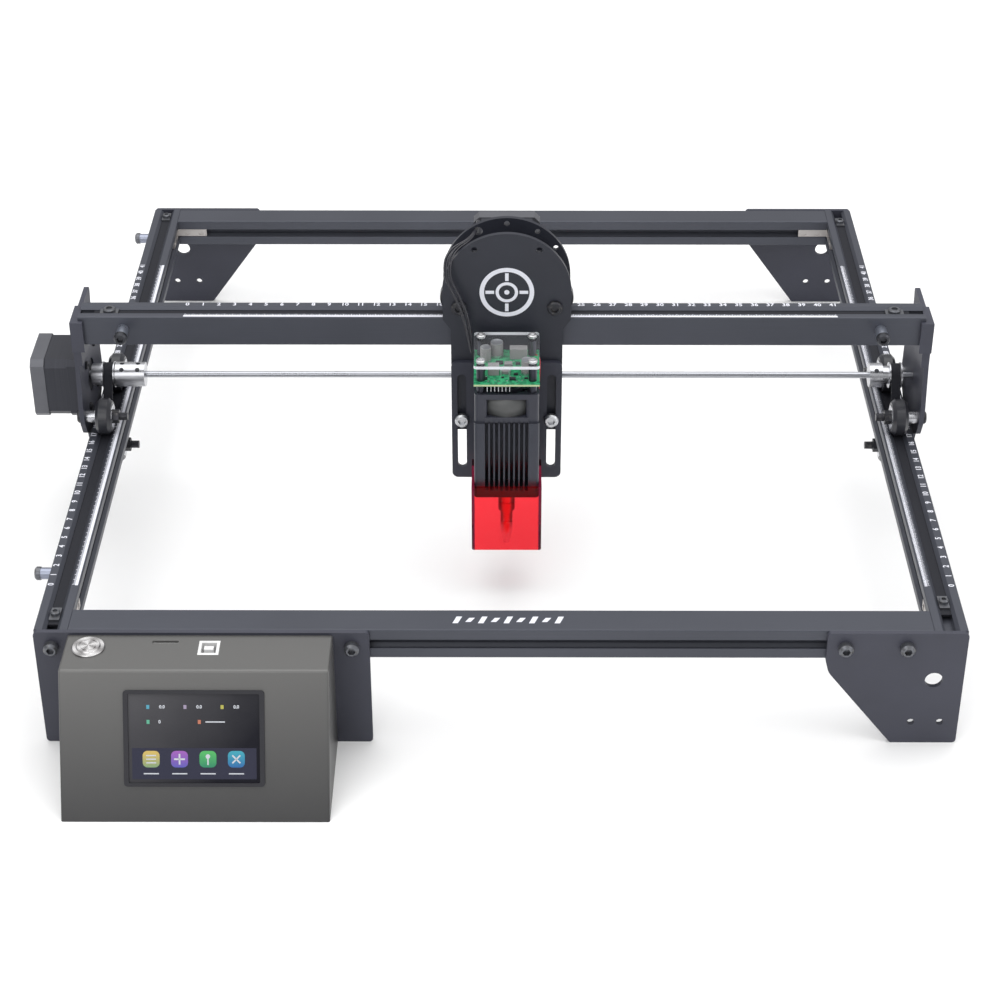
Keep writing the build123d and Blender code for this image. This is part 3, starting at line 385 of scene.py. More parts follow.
def ink(name, colour, glow=0.0):
    """Screen ink or a lit patch of the display, slightly uneven."""
    finish = Finish(name, specular_ior_level=0.3)
    cloud = finish.noise(700.0, 3.0)
    tint = finish.blend(cloud, shade(colour, 0.86), rgb(*colour))
    finish.set("Base Color", tint)
    finish.set("Roughness", 0.5 + 0.2 * cloud)
    if glow:
        finish.set("Emission Color", tint)
        finish.set("Emission Strength", glow)
    finish.raise_by(cloud, 0.01, 0.4)
    return finish.material


def spun_cap():
    """Spun button cap: rings about the button's own axis, under painted bow-tie highlights."""
    finish = Finish("spun_cap", metallic=1.0)
    low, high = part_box("power_button")
    middle = [-(a + b) / 2 for a, b in zip(low, high)]
    where = finish.node("ShaderNodeMapping", {}, {"Vector": finish.position, "Location": middle})
    rings = finish.node("ShaderNodeTexWave", {"wave_type": "RINGS", "rings_direction": "Z"},
                        {"Vector": where, "Scale": 700.0, "Distortion": 0.4})
    across = finish.along("X", of=where)
    # painted highlight: a sine of four times the angle round the axis lays bright and dark wedges on
    # the metal
    angle = finish.maths("ARCTAN2", finish.along("Y", of=where), across)
    painted_bowtie_highlights = finish.maths("SINE", angle * 4.0, 0.0) * 0.5 + 0.5
    metal = finish.blend(painted_bowtie_highlights, rgb(0.3, 0.29, 0.29), rgb(0.85, 0.84, 0.84))
    finish.set("Base Color", finish.blend(rings * 0.35, metal, rgb(0.6, 0.59, 0.59)))
    finish.set("Roughness", 0.2 + 0.12 * rings)
    finish.raise_by(rings, 0.01)
    return finish.material


def make_finishes():
    slate = (0.058, 0.062, 0.078)
    return {
        "bar_y": anodised("anodised_side_bar", slate, (1, 0, 1)),
        "bar_x": anodised("anodised_cross_bar", slate, (0, 1, 1)),
        "plate": powder_coat("plate_powder_coat", (0.047, 0.049, 0.067)),
        "carriage": powder_coat("carriage_powder_coat", (0.022, 0.024, 0.034), 0.42),
        "height": powder_coat("height_powder_coat", (0.034, 0.036, 0.052), 0.42),
        "box": box_coat(),
        "plastic": moulded("black_moulding", (0.013, 0.013, 0.018)),
        "fan": moulded("fan_moulding", (0.036, 0.038, 0.052), 0.34),
        # painted sheen: paler grey for the thin shell round the fan's duct
        "duct_sheen": moulded("duct_painted_sheen", (0.085, 0.088, 0.088), 0.4, 0.004),
        "wheel": moulded("wheel_acetal", (0.028, 0.029, 0.035), 0.3, 0.006),
        "steel_x": turned_metal("turned_steel", (0.5, 0.505, 0.53)),
        "steel_z": turned_metal("machined_steel", (0.6, 0.61, 0.63), 0.3, (0, 0, 1)),
        "steel_dull": turned_metal("dull_steel", (0.28, 0.3, 0.37), 0.3),
        "steel_warm": turned_metal("plated_steel", (0.5, 0.475, 0.46), 0.4, (0, 0, 1)),
        "alloy": turned_metal("turned_alloy", (0.52, 0.525, 0.55), 0.24),
        "nozzle": turned_metal("machined_nozzle", (0.86, 0.87, 0.88), 0.3, (0, 0, 1)),
        "screw": black_oxide("zinc_black_screw", (0.13, 0.135, 0.15), 0.28),
        "oxide": black_oxide("black_oxide_steel", (0.035, 0.036, 0.042)),
        "motor_y": motor_coat("gantry_motor_coat", "X", frame_x(MOTOR_ENDS[0]), -1.0),
        "motor_x": motor_coat("carriage_motor_coat", "Y", frame_y(MOTOR_ENDS[1]), 1.0),
        "sink": anodised("sink_anodised", (0.05, 0.053, 0.068), (0, 0, 1), 0.36, 0.45),
        "belt": belt_rubber(),
        "cover": clear_sheet(),
        "shield": red_acrylic(),
        "glass": dark_glass(),
        "board": solder_mask(),
        "part_grey": moulded("component_moulding", (0.25, 0.245, 0.245), 0.4),
        "port": moulded("port_moulding", (0.72, 0.72, 0.72), 0.35, 0.006),
        "ink": ink("white_print", (0.78, 0.79, 0.86)),
        "cap": spun_cap(),
        "standoff": two_metals("standoff_metal", "Z", COVER_FACE * MM, 1.0, (0.055, 0.058, 0.074),
                               (0.72, 0.72, 0.73)),
        "stop": two_metals("stop_post_metal", "Y", frame_y(STOP_FACE), -1.0, (0.4, 0.43, 0.5),
                           (0.06, 0.062, 0.07)),
        "wire": moulded("wire_sleeve", (0.03, 0.03, 0.037), 0.2, 0.01),
        "shaft": turned_metal("drawn_shaft", (0.4, 0.41, 0.44), 0.24),
        "red_wire": moulded("red_wire_sleeve", (0.55, 0.02, 0.03), 0.4, 0.01),
        "laminate": moulded("board_laminate", (0.5, 0.56, 0.33), 0.4, 0.01),
    }


NODE_FINISH = {
    "bar_y": ["left_rail", "right_rail"],
    "bar_x": ["front_bar", "rear_bar", "gantry_beam"],
    "plate": ["front_left_plate", "front_right_plate", "rear_foot_plates", "left_end_plate",
              "right_end_plate", "beam_brackets"],
    "carriage": ["front_carriage_plate", "rear_carriage_plate"],
    "height": ["height_plate"],
    "box": ["box_shell", "box_floor"],
    "plastic": ["display_bezel"],
    "fan": ["fan_frame", "fan_rotor"],
    "wheel": ["y_front_wheels", "y_rear_wheels", "y_lower_wheels", "x_left_wheel",
              "x_right_wheel", "x_lower_wheel"],
    "steel_x": ["y_wheel_bearings", "x_wheel_bearings"],
    "shaft": ["cross_shaft"],
    "steel_z": ["height_bolts"],
    "steel_dull": ["rail_stop_sleeves"],
    "stop": ["beam_stop_posts"],
    "steel_warm": ["corner_brackets"],
    "alloy": ["drive_pulleys", "shaft_coupler", "x_pulley"],
    "nozzle": ["nozzle"],
    "screw": ["frame_screws", "belt_clamps", "x_belt_clamps"],
    "oxide": ["gantry_screws", "y_wheel_bolts", "carriage_screws"],
    "motor_y": ["y_motor"],
    "motor_x": ["x_motor"],
    "standoff": ["standoffs"],
    "sink": ["heat_sink"],
    "belt": ["y_belts", "y_belt_loops", "x_belt", "x_belt_loop"],
    "cover": ["acrylic_cover"],
    "shield": ["laser_shield"],
    "glass": ["display_panel"],
    "board": ["driver_board", "main_board"],
    "part_grey": ["board_components"],
    "port": ["box_ports"],
    "cap": ["power_button", "button_housing"],
}


def dress_nodes(finishes):
    for finish, nodes in NODE_FINISH.items():
        for node in nodes:
            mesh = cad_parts[node].data
            mesh.materials.clear()
            mesh.materials.append(finishes[finish])


# ---- making pieces -----------------------------------------------------------------------
def piece(name, mesh, body, finish):
    """A finished mesh that rides on a body, or on none."""
    made = bpy.data.objects.new(name, mesh)
    bpy.context.scene.collection.objects.link(made)
    mesh.materials.clear()
    mesh.materials.append(finish)
    if body:
        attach(made, body)
    return made


def as_mesh(out, name):
    """A finished mesh from the builder, which is freed."""
    mesh = bpy.data.meshes.new(name)
    out.to_mesh(mesh)
    out.free()
    return mesh


def as_seen(holder):
    """The object's mesh with its modifiers and bevels, in place of the object."""
    bpy.context.scene.collection.objects.link(holder)
    seen = holder.evaluated_get(bpy.context.evaluated_depsgraph_get())
    mesh = bpy.data.meshes.new_from_object(seen)
    bpy.data.objects.remove(holder)
    return mesh


def smooth(made):
    for polygon in made.data.polygons:
        polygon.use_smooth = True


def joined(name, parts):
    """One mesh from (mesh, matrix) pairs."""
    out = bmesh.new()
    for mesh, matrix in parts:
        start = len(out.verts)
        out.from_mesh(mesh)
        out.verts.ensure_lookup_table()
        bmesh.ops.transform(out, matrix=matrix, verts=out.verts[start:])
    return as_mesh(out, name)


def slab(name, outline, thick=PRINT):
    """A flat patch with the given outline, standing up from its plane."""
    out = bmesh.new()
    face = out.faces.new([out.verts.new((x, y, 0)) for x, y in outline])
    grown = bmesh.ops.extrude_face_region(out, geom=[face])
    top = [part for part in grown["geom"] if isinstance(part, bmesh.types.BMVert)]
    bmesh.ops.translate(out, verts=top, vec=(0, 0, thick))
    bmesh.ops.recalc_face_normals(out, faces=out.faces)
    return as_mesh(out, name)


def oblong(wide, high, x=0.0, y=0.0, lean=0.0):
    return [(x - wide / 2 - lean, y - high / 2), (x + wide / 2 - lean, y - high / 2),
            (x + wide / 2 + lean, y + high / 2), (x - wide / 2 + lean, y + high / 2)]


def ring(radius, x=0.0, y=0.0, steps=48):
    return [(x + radius * cos(2 * pi * k / steps), y + radius * sin(2 * pi * k / steps))
            for k in range(steps)]


def hoop(name, outer, inner, thick=PRINT, steps=64):
    """A flat ring."""
    out = bmesh.new()
    rows = [[out.verts.new((r * cos(2 * pi * k / steps), r * sin(2 * pi * k / steps), z))
             for k in range(steps)] for r, z in ((inner, 0), (outer, 0), (outer, thick),
                                                 (inner, thick))]
    for row, after in zip(rows, rows[1:] + rows[:1]):
        for k in range(steps):
            n = (k + 1) % steps
            out.faces.new((row[k], row[n], after[n], after[k]))
    bmesh.ops.recalc_face_normals(out, faces=out.faces)
    return as_mesh(out, name)


GLYPHS = {}


def lettering(text, size):
    """Figures as a thin millimetre mesh, centred on their middle."""
    if (text, size) not in GLYPHS:
        curve = bpy.data.curves.new("figures", "FONT")
        curve.body = text
        curve.size = size
        curve.extrude = PRINT / 2
        curve.offset = 0.1
        curve.resolution_u = 3
        curve.align_x = "CENTER"
        curve.align_y = "CENTER"
        GLYPHS[text, size] = as_seen(bpy.data.objects.new("figures", curve))
    return GLYPHS[text, size]


# ---- Geometry Nodes for what repeats ---------------------------------------------------------
class Grower:
    """A Geometry Nodes tree whose sizes are named inputs."""

    def __init__(self, name, sizes):
        self.tree = bpy.data.node_groups.new(name, "GeometryNodeTree")
        self.tree.interface.new_socket("Geometry", in_out="OUTPUT",
                                       socket_type="NodeSocketGeometry")
        self.names = {}
        for label, kind in sizes.items():
            socket = self.tree.interface.new_socket(label, in_out="INPUT",
                                                    socket_type="NodeSocket" + kind)
            self.names[label] = socket.identifier
        self.entry = self.tree.nodes.new("NodeGroupInput")
        self.exit = self.tree.nodes.new("NodeGroupOutput")

    def size(self, label):
        return self.entry.outputs[label]

    def node(self, kind, settings=None, inputs=None, output=0):
        made = self.tree.nodes.new(kind)
        for key, value in (settings or {}).items():
            setattr(made, key, value)
        for socket, value in (inputs or {}).items():
            if isinstance(value, bpy.types.NodeSocket):
                self.tree.links.new(value, made.inputs[socket])
            else:
                made.inputs[socket].default_value = value
        return made.outputs[output]

    def finish(self, geometry):
        real = self.node("GeometryNodeRealizeInstances", {}, {0: geometry})
        done = self.node("GeometryNodeSetMaterial", {}, {0: real, "Material":
                                                         self.size("Material")})
        self.tree.links.new(done, self.exit.inputs[0])

    def grow(self, **sizes):
        """Run the tree with these sizes and keep the result as a plain mesh."""
        holder = bpy.data.objects.new("grower", bpy.data.meshes.new("grower"))
        modifier = holder.modifiers.new("grower", "NODES")
        modifier.node_group = self.tree
        for label, value in sizes.items():
            modifier[self.names[label]] = value
        return as_seen(holder)


def row_grower():
    """Blocks in a row along x; every so many of them is a long one."""
    grower = Grower("row_of_blocks", {"Count": "Int", "Step": "Float", "Width": "Float",
                                      "Short": "Float", "Long": "Float", "Every": "Int",
                                      "Height": "Float", "Material": "Material"})
    offset = grower.node("ShaderNodeCombineXYZ", {}, {0: grower.size("Step")})
    line = grower.node("GeometryNodeMeshLine", {}, {"Count": grower.size("Count"),
                                                    "Offset": offset})
    block = grower.node("GeometryNodeMeshCube", {}, {"Size": (1, 1, 1)})
    lifted = grower.node("GeometryNodeTransform", {}, {0: block, "Translation": (0, 0.5, 0.5)})
    index = grower.node("GeometryNodeInputIndex")
    rest = grower.node("ShaderNodeMath", {"operation": "MODULO"}, {0: index, 1: grower.size("Every")})
    is_long = grower.node("ShaderNodeMath", {"operation": "LESS_THAN"}, {0: rest, 1: 0.5})
    length = grower.node("ShaderNodeMix", {"data_type": "FLOAT"},
                         {0: is_long, 2: grower.size("Short"), 3: grower.size("Long")})
    scale = grower.node("ShaderNodeCombineXYZ", {}, {0: grower.size("Width"), 1: length,
                                                     2: grower.size("Height")})
    copies = grower.node("GeometryNodeInstanceOnPoints", {}, {"Points": line, "Instance": lifted,
                                                              "Scale": scale})
    grower.finish(copies)
    return grower


def ring_grower():
    """Blocks standing round a circle, each turned to face outwards."""
    grower = Grower("ring_of_blocks", {"Count": "Int", "Radius": "Float", "Width": "Float",
                                       "Depth": "Float", "Height": "Float",
                                       "Material": "Material"})
    circle = grower.node("GeometryNodeMeshCircle", {}, {"Vertices": grower.size("Count"),
                                                        "Radius": grower.size("Radius")})
    block = grower.node("GeometryNodeMeshCube", {}, {"Size": (1, 1, 1)})
    index = grower.node("GeometryNodeInputIndex")
    share = grower.node("ShaderNodeMath", {"operation": "DIVIDE"}, {0: index,
                                                                    1: grower.size("Count")})
    angle = grower.node("ShaderNodeMath", {"operation": "MULTIPLY"}, {0: share, 1: 2 * pi})
    turn = grower.node("ShaderNodeCombineXYZ", {}, {2: angle})
    scale = grower.node("ShaderNodeCombineXYZ", {}, {0: grower.size("Depth"),
                                                     1: grower.size("Width"),
                                                     2: grower.size("Height")})
    copies = grower.node("GeometryNodeInstanceOnPoints", {}, {"Points": circle, "Instance": block,
                                                              "Rotation": turn, "Scale": scale})
    grower.finish(copies)
    return grower


# ---- printed scales ------------------------------------------------------------------------
SCALE_CM = 41            # highest figure on each scale
CM = 10.0
FIGURE = 4.9             # height of the printed figures
RAIL_ZERO = 45.3         # where the rails' scales start, along y
BEAM_ZERO = -199.6       # and the beam's, along x
BAND = 1.7               # width of the white band


def printed_scale(name, body, rows, ink_finish, zero, across, towards, top, figures_off, band_off):
    """Figures on one strip of a bar, a white band with its marks on the other."""
    along = Vector(across)
    side = Vector(towards)
    spot = Vector(zero)
    length = SCALE_CM * CM
    parts = []
    for cm in range(SCALE_CM + 1):
        where = spot + along * (cm * CM) + side * figures_off
        parts.append((lettering(str(cm), FIGURE), placed(*where, across, top)))
    band = slab("band", oblong(length + 2, BAND, length / 2, -BAND / 2))
    ticks = rows.grow(Count=SCALE_CM * 10 + 1, Step=1.0, Width=0.42, Short=1.1, Long=1.8, Every=5,
                      Height=PRINT, Material=ink_finish)
    edge = spot + side * band_off
    parts.append((band, placed(*edge, across, side)))
    parts.append((ticks, placed(*edge, across, side)))
    mesh = joined(name, parts)
    face_outwards(mesh)
    return piece(name, mesh, body, ink_finish)


def face_outwards(mesh):
    """Turn every face of the mesh outwards."""
    out = bmesh.new()
    out.from_mesh(mesh)
    bmesh.ops.recalc_face_normals(out, faces=out.faces)
    out.to_mesh(mesh)
    out.free()


def make_scales(rows, finishes):
    for name, sign in (("left_rail_scale", -1), ("right_rail_scale", 1)):
        printed_scale(name, "frame", rows, finishes["ink"], (sign * RAIL_X, RAIL_ZERO, RAIL_TOP),
                      (0, 1, 0), (sign, 0, 0), (-1, 0, 0), 7.15, -7.2)
    printed_scale("beam_scale", "gantry", rows, finishes["ink"],
                  (BEAM_ZERO, BEAM_FRONT + 10.0, BEAM_TOP), (1, 0, 0), (0, 1, 0), (0, 1, 0), 7.15,
                  -7.5)


# ---- marks on the front bar and on the carriage ---------------------------------------------
def make_marks(finishes):
    """A row of slanted bars on the front bar and an aiming mark on the round plate."""
    bars = []
    for k in range(9):
        tall = 6.5 if k % 2 == 0 else 4.0
        bars.append((slab("bar", oblong(3.2, tall, (k - 4) * 7.4, 0, 1.2)),
                     placed(CARRIAGE_X + 1.0, 10.0, RAIL_TOP)))
    piece("front_bar_mark", joined("front_bar_mark", bars), "frame", finishes["ink"])
    face = CARRIAGE_X, PLATE_FRONT, FRONT_DISC_Z
    front = (1, 0, 0), (0, 0, 1)
    parts = [(hoop("outer", 17.0, 14.2), placed(*face, *front)),
             (hoop("inner", 7.0, 5.0), placed(*face, *front)),
             (slab("dot", ring(1.6)), placed(*face, *front))]
    for turn in range(4):
        spin = Matrix.Rotation(turn * pi / 2, 4, "Z")
        parts.append((slab("arm", oblong(2.2, 5.4, 0, 10.6)), placed(*face, *front) @ spin))
    piece("carriage_mark", joined("carriage_mark", parts), "carriage", finishes["ink"])


# ---- control box -----------------------------------------------------------------------------
BOX_BEND = (-36.5, BOX_TOP)
BOX_TOE = (-75.5, 0.0)
FACE = Vector((0, BOX_TOE[0] - BOX_BEND[0], BOX_TOE[1] - BOX_BEND[1]))


def on_face(x, down, out=0.0):
    """Matrix on the sloping face of the control box."""
    way = FACE.normalized()
    normal = Vector((1, 0, 0)).cross(-way)
    spot = Vector((x, BOX_BEND[0], BOX_BEND[1])) + way * down + normal * out
    return placed(*spot, (1, 0, 0), -way)


def display_patch(name, parts, finish):
    piece(name, joined(name, parts), "frame", finish)


def rounded(wide, high, corner, steps=6):
    """Outline of a rectangle with round corners."""
    points = []
    for quarter, (sx, sy) in enumerate(((1, 1), (-1, 1), (-1, -1), (1, -1))):
        for k in range(steps + 1):
            angle = (quarter + k / steps) * pi / 2
            points.append((sx * (wide / 2 - corner) + corner * cos(angle),
                           sy * (high / 2 - corner) + corner * sin(angle)))
    return points


def icon_ink(name, top, bottom):
    """Lit icon whose colour runs down from one shade to the other."""
    finish = Finish(name, specular_ior_level=0.3)
    cloud = finish.noise(500.0, 2.0)
    height = finish.along("Z", 28.2 * MM) * (1.0 / (9.0 * MM)) + cloud * 0.2
    tint = finish.blend(finish.ramp(height, 0.05, 1.0), rgb(*bottom), rgb(*top))
    finish.set("Base Color", tint)
    finish.set("Emission Color", tint)
    finish.set("Emission Strength", 0.12)
    finish.set("Roughness", 0.35 + 0.1 * cloud)
    return finish.material


ICON_DOWN = 51.0         # from the box's bend down to the icons' middle
GLYPH_OUT = 0.11         # a glyph's height above the glass
# Where each icon stands, with its colour at the top and at the bottom.
ICONS = [(-198.1, (0.5, 0.36, 0.1), (0.14, 0.26, 0.14)),
         (-182.0, (0.26, 0.09, 0.36), (0.07, 0.08, 0.34)),
         (-165.9, (0.07, 0.36, 0.1), (0.02, 0.17, 0.1)),
         (-149.8, (0.04, 0.28, 0.36), (0.02, 0.09, 0.28))]


def make_display():
    """The lit display: a lower bar, four icons and two rows of readouts."""
    panel = ink("display_panel_light", (0.02, 0.021, 0.042), 0.1)
    display_patch("display_lower_bar", [(slab("bar", oblong(70.5, 18.0), 0.04),
                                         on_face(DISPLAY_X, 53.6))], panel)
    glyph = ink("display_white", (0.5, 0.52, 0.56), 0.12)
    for number, (x, top, bottom) in enumerate(ICONS):
        name = f"display_icon_{number + 1}"
        display_patch(name, [(slab("tile", rounded(9.6, 9.6, 2.8), 0.06), on_face(x, ICON_DOWN, 0.04))],
                      icon_ink(name, top, bottom))
    list_x, plus_x, lamp_x, cross_x = (icon[0] for icon in ICONS)
    marks = [(slab("line", oblong(5.6, 0.7, 0, row)), on_face(list_x, ICON_DOWN, GLYPH_OUT))
             for row in (-2.1, 0, 2.1)]
    for turn in range(2):
        plus = Matrix.Rotation(turn * pi / 2, 4, "Z")
        cross = Matrix.Rotation(turn * pi / 2 + pi / 4, 4, "Z")
        marks.append((slab("plus", oblong(1.0, 6.2)), on_face(plus_x, ICON_DOWN, GLYPH_OUT) @ plus))
        marks.append((slab("cross", oblong(0.9, 6.4)), on_face(cross_x, ICON_DOWN, GLYPH_OUT) @ cross))
    marks.append((slab("head", ring(1.3, 0, 1.6, 24)), on_face(lamp_x, ICON_DOWN, GLYPH_OUT)))
    marks.append((slab("beam", oblong(0.8, 4.2, 0, -1.2)), on_face(lamp_x, ICON_DOWN, 0.12)))
    for x, _, _ in ICONS:
        marks.append((slab("label", oblong(8.6, 0.7)), on_face(x, 59.4, 0.06)))
    for x in (-195.5, -174.5, -153.5):
        marks.append((lettering("0.0", 2.6), on_face(x + 4.0, 20.9, 0.04)))
    marks.append((lettering("0", 2.6), on_face(-193.0, 29.5, 0.04)))
    marks.append((slab("state", oblong(11.0, 0.7)), on_face(-161.5, 29.5, 0.04)))
    display_patch("display_readouts", marks, glyph)
    axis_marks = [((-199.5, 20.9), (0.08, 0.3, 0.4)), ((-178.5, 20.9), (0.3, 0.25, 0.35)),
                  ((-157.5, 20.9), (0.4, 0.38, 0.08)), ((-199.5, 29.5), (0.1, 0.36, 0.24)),
                  ((-170.5, 29.5), (0.45, 0.16, 0.1))]
    for number, ((x, down), colour) in enumerate(axis_marks):
        name = f"display_flag_{number + 1}"
        display_patch(name, [(slab("flag", oblong(1.7, 2.3), 0.06), on_face(x, down, 0.04))],
                      ink(name, colour, 0.1))


def make_box_details(rows, finishes):
    """Metal contacts in the data port."""
    pins = rows.grow(Count=4, Step=1.1, Width=0.5, Short=0.25, Long=0.25, Every=1, Height=9.0,
                     Material=finishes["steel_z"])
    turned = placed(-168.65, -16.95, 66.0)
    piece("port_contacts", joined("port_contacts", [(pins, turned)]), "frame",
          finishes["steel_z"])


# ---- driver board ----------------------------------------------------------------------------
CANS = [(-6.2, 14.5, 4.0), (-13.2, 8.2, 3.4), (12.6, -7.6, 3.6)]
CHIPS = [(-13.5, -15.0, 3.2, 2.0, 1.0), (-14.5, -3.0, 2.4, 4.0, 1.0), (3.6, -15.5, 4.0, 2.6, 1.2),
         (5.6, -9.6, 2.6, 1.6, 0.9), (-2.5, -13.5, 1.6, 1.0, 0.8), (7.0, 3.6, 3.0, 2.0, 1.0),
         (-4.6, 4.4, 4.6, 3.0, 1.2), (12.0, -14.6, 2.2, 1.4, 0.8), (-9.0, -0.6, 2.0, 1.2, 0.7)]
PADS = [(-11.5, -17.8), (-7.4, -16.6), (-5.0, -18.2), (0.2, -17.4), (6.2, -17.9), (9.6, -16.8),
        (8.2, -12.4), (-12.6, -12.4), (2.2, -12.0), (14.6, 0.6), (-2.0, 0.8), (4.4, 6.6)]


def make_board_details(rows, finishes):
    low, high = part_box("driver_board")
    half = (high[0] - low[0]) / MM / 2
    front = low[1] / MM - DATUM.y
    back = high[1] / MM - DATUM.y
    top = high[2] / MM
    edge = [(slab("edge", oblong(2 * half, 1.1, 0, 0.8), 0.1),
             placed(CARRIAGE_X, y, top - 1.6, (turn, 0, 0), (0, 0, 1)))
            for y, turn in ((front, 1), (back, -1))]
    piece("board_edge", joined("board_edge", edge), "head", finishes["laminate"])
    pins = rows.grow(Count=7, Step=2.3, Width=0.5, Short=0.5, Long=0.5, Every=1, Height=4.4,
                     Material=finishes["steel_z"])
    posts = rows.grow(Count=2, Step=5.2, Width=1.1, Short=1.0, Long=1.0, Every=1, Height=4.0,
                      Material=finishes["steel_z"])
    feet = [(pins, placed(CARRIAGE_X - 12.0, front + 1.6, top - 6.0)),
            (posts, placed(CARRIAGE_X - 3.6, front + 10.8, top))]
    feet += [(slab("pad", oblong(1.0, 0.7, x, y), 0.25), placed(CARRIAGE_X, HEAD_Y, top))
             for x, y in PADS]
    piece("board_pins", joined("board_pins", feet), "head", finishes["steel_z"])
    chips = [(slab("chip", oblong(wide, deep, x, y), tall), placed(CARRIAGE_X, HEAD_Y, top))
             for x, y, wide, deep, tall in CHIPS]
    piece("board_chips", joined("board_chips", chips), "head", finishes["plastic"])
    caps = []
    for x, y, radius in CANS:
        where = CARRIAGE_X + x, HEAD_Y + y
        caps.append((hoop("rim", radius - 0.1, radius - 0.7, 0.3, 32), placed(*where, top + 9.4)))
        caps.append((slab("lid", ring(radius - 0.7, 0, 0, 32), 0.12), placed(*where, top + 9.4)))
        caps.append((hoop("foot", radius + 0.15, radius - 0.1, 1.3, 32), placed(*where, top + 0.2)))
    piece("capacitor_cans", joined("capacitor_cans", caps), "head", finishes["steel_z"])


def make_fan_ring(finishes):
    """Pale sticker ring on the fan's hub, and a thin shell round its duct that carries a painted sheen.
    """
    mesh = hoop("fan_hub_ring", 9.0, 7.6, 0.1)
    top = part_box("fan_rotor")[1][2] / MM
    piece("fan_hub_ring", joined("fan_hub_ring", [(mesh, placed(CARRIAGE_X, HEAD_Y, top))]),
          "fan", finishes["part_grey"])
    frame_low, frame_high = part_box("fan_frame")
    # painted sheen: a thin paler shell round the fan's duct stands in for the light on its round wall
    sheen_shell = hoop("fan_duct_painted_sheen", 19.92, 19.8, (frame_high[2] - frame_low[2]) / MM - 7.4, 96)
    where = placed(CARRIAGE_X, HEAD_Y, frame_low[2] / MM + 3.7)
    made = piece("fan_duct_painted_sheen", joined("fan_duct_painted_sheen", [(sheen_shell, where)]), "head",
                 finishes["duct_sheen"])
    for polygon in made.data.polygons:
        polygon.use_smooth = abs(polygon.normal.z) < 0.5


# ---- leads ------------------------------------------------------------------------------------
LEAD_HOLE_R = 36.0       # from the rear disc's middle to the hole the leads pass
LEAD_HOLE_ANGLE = radians(120)
LEAD_X = CARRIAGE_X + LEAD_HOLE_R * cos(LEAD_HOLE_ANGLE)
LEAD_Z = REAR_DISC_Z + LEAD_HOLE_R * sin(LEAD_HOLE_ANGLE)
LEAD_ROUTE = [(LEAD_X, 240.0, LEAD_Z), (LEAD_X - 1, 216.0, LEAD_Z + 1.5),
              (CARRIAGE_X - 35.5, 199.5, 222.5), (CARRIAGE_X - 37.5, 191.5, 209.0),
              (CARRIAGE_X - 30.5, 190.0, 195.5), (CARRIAGE_X - 24.5, 189.5, 178.0),
              (CARRIAGE_X - 21.8, 187.0, 158.0)]


def lead_line(route):
    curve = bpy.data.curves.new("lead_line", "CURVE")
    curve.dimensions = "3D"
    spline = curve.splines.new("NURBS")
    spline.points.add(len(route) - 1)
    for point, where in zip(spline.points, route):
        point.co = (*at(*where), 1.0)
    spline.order_u = 3
    spline.use_endpoint_u = True
    spline.resolution_u = 16
    return curve


def wire_mesh(route, radius):
    curve = lead_line(route)
    curve.bevel_depth = radius * MM
    curve.bevel_resolution = 3
    curve.use_fill_caps = True
    return as_seen(bpy.data.objects.new("wire", curve))


def make_leads(finishes):
    """Four thin leads that fan out between the rear plate's hole and the driver board."""
    wires = []
    for out, up in ((-1.0, 0.5), (-0.35, -0.7), (0.4, 0.7), (1.0, -0.4)):
        route = []
        for k, (x, y, z) in enumerate(LEAD_ROUTE):
            spread = 0.5 if k in (0, 1, len(LEAD_ROUTE) - 1) else 1.9
            route.append((x + out * spread, y + 0.5 * up, z + up * spread * 0.5))
        wires.append((wire_mesh(route, 0.55), Matrix.Identity(4)))
    made = piece("head_wires", joined("head_wires", wires), None, finishes["wire"])
    smooth(made)
    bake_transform(made)
    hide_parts("head_leads")
    side = CARRIAGE_X + HEAD_HALF
    red = wire_mesh([(side - 1.6, 186.0, 156.9), (side + 0.6, 188.0, 154.0),
                     (side + 0.9, 190.0, 148.0), (side + 0.5, 191.0, 136.0),
                     (side + 0.2, 192.0, 129.0)], 0.45)
    fan_lead = piece("fan_lead", joined("fan_lead", [(red, Matrix.Identity(4))]), "head",
                     finishes["red_wire"])
    smooth(fan_lead)


# ---- drive details ----------------------------------------------------------------------------
def make_knurls(rings, finishes):
    """Knurled grip on the left pulley's hub, set screws in the coupler and the right pulley."""
    ribs = rings.grow(Count=44, Radius=7.0, Width=0.5, Depth=0.5, Height=5.6,
                      Material=finishes["alloy"])
    where = placed(-267.8, DRIVE_Y, DRIVE_Z, (0, 1, 0), (0, 0, 1))
    piece("pulley_knurl", joined("pulley_knurl", [(ribs, where)]), "drive_shaft",
          finishes["alloy"])
    sockets = []
    for x, hub in ((247.2, 8.0), (-251.0, 8.1), (-240.5, 8.1)):
        for angle in (50.0, 140.0):
            out = Vector((0, -cos(radians(angle)), sin(radians(angle))))
            spot = Vector((x, DRIVE_Y, DRIVE_Z)) + out * (hub - 0.12)
            up = out.cross(Vector((1, 0, 0)))
            sockets.append((slab("socket", ring(1.5, 0, 0, 24), 0.2), placed(*spot, (1, 0, 0), up)))
    piece("hub_set_screws", joined("hub_set_screws", sockets), "drive_shaft", finishes["oxide"])


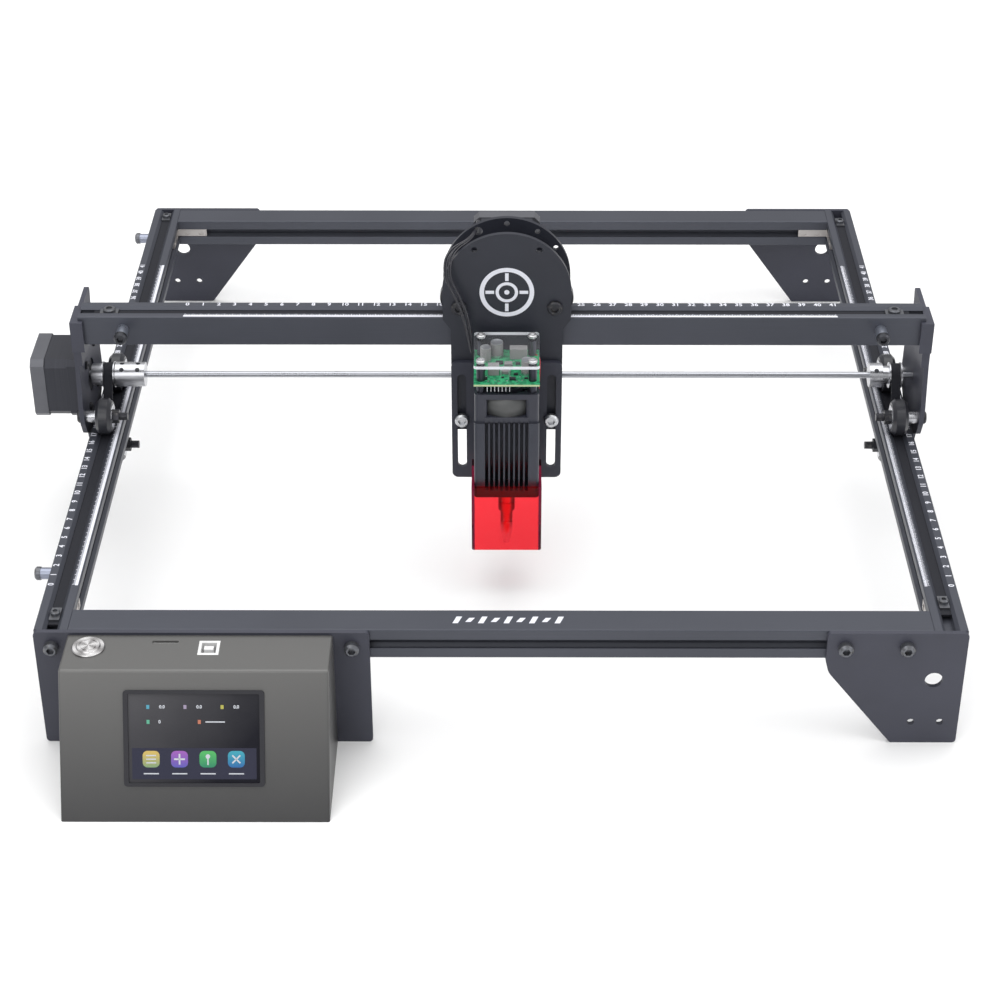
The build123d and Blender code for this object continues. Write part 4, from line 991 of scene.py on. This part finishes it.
# ---- room ----------------------------------------------------------------------------------------
def set_room():
    floor_mesh = bpy.data.meshes.new("floor")
    reach = 6.0
    floor_mesh.from_pydata([(-reach, -reach, 0), (reach, -reach, 0), (reach, reach, 0),
                            (-reach, reach, 0)], [], [(0, 1, 2, 3)])
    floor = bpy.data.objects.new("floor", floor_mesh)
    bpy.context.scene.collection.objects.link(floor)
    paper = Finish("paper_sweep", specular_ior_level=0.2)
    cloud = paper.noise(3.0)
    paper.set("Base Color", paper.blend(cloud, rgb(0.9, 0.9, 0.9), rgb(0.93, 0.93, 0.93)))
    paper.set("Roughness", 0.7 + 0.1 * cloud)
    floor_mesh.materials.append(paper.material)
    world = bpy.data.worlds.new("soft_room")
    world.use_nodes = True
    nodes = world.node_tree.nodes
    sky = nodes["Background"]
    where = nodes.new("ShaderNodeTexCoord")
    split = nodes.new("ShaderNodeSeparateXYZ")
    ramp = nodes.new("ShaderNodeValToRGB")
    ramp.color_ramp.elements[0].position = 0.18
    ramp.color_ramp.elements[0].color = (0.3, 0.3, 0.31, 1)
    ramp.color_ramp.elements[1].position = 0.62
    ramp.color_ramp.elements[1].color = (1, 1, 1, 1)
    for start, end in ((where.outputs["Generated"], split.inputs[0]),
                       (split.outputs[2], ramp.inputs[0]), (ramp.outputs[0], sky.inputs["Color"])):
        world.node_tree.links.new(start, end)
    sky.inputs["Strength"].default_value = 0.95
    bpy.context.scene.world = world
    lamps = [("overhead", (0.0, 0.2, 1.9), (0.0, 0.0, 0.0), 2.2, 26.0),
             ("front_fill", (-0.9, -2.0, 1.3), (0.0, 0.0, 0.1), 1.6, 14.0),
             ("right_fill", (2.0, -0.6, 1.0), (0.0, 0.0, 0.1), 1.4, 9.0)]
    for name, place, aim, size, power in lamps:
        light = bpy.data.lights.new(name, "AREA")
        light.size = size
        light.energy = power
        lamp = bpy.data.objects.new(name, light)
        bpy.context.scene.collection.objects.link(lamp)
        lamp.location = place
        lamp.rotation_euler = (Vector(aim) - Vector(place)).to_track_quat("-Z", "Y").to_euler()
    bpy.context.scene.view_settings.view_transform = "Standard"


def main():
    set_camera()
    finishes = make_finishes()
    dress_nodes(finishes)
    rows = row_grower()
    rings = ring_grower()
    make_leads(finishes)
    make_scales(rows, finishes)
    make_marks(finishes)
    make_display()
    make_box_details(rows, finishes)
    make_board_details(rows, finishes)
    make_fan_ring(finishes)
    make_knurls(rings, finishes)
    set_room()


main()
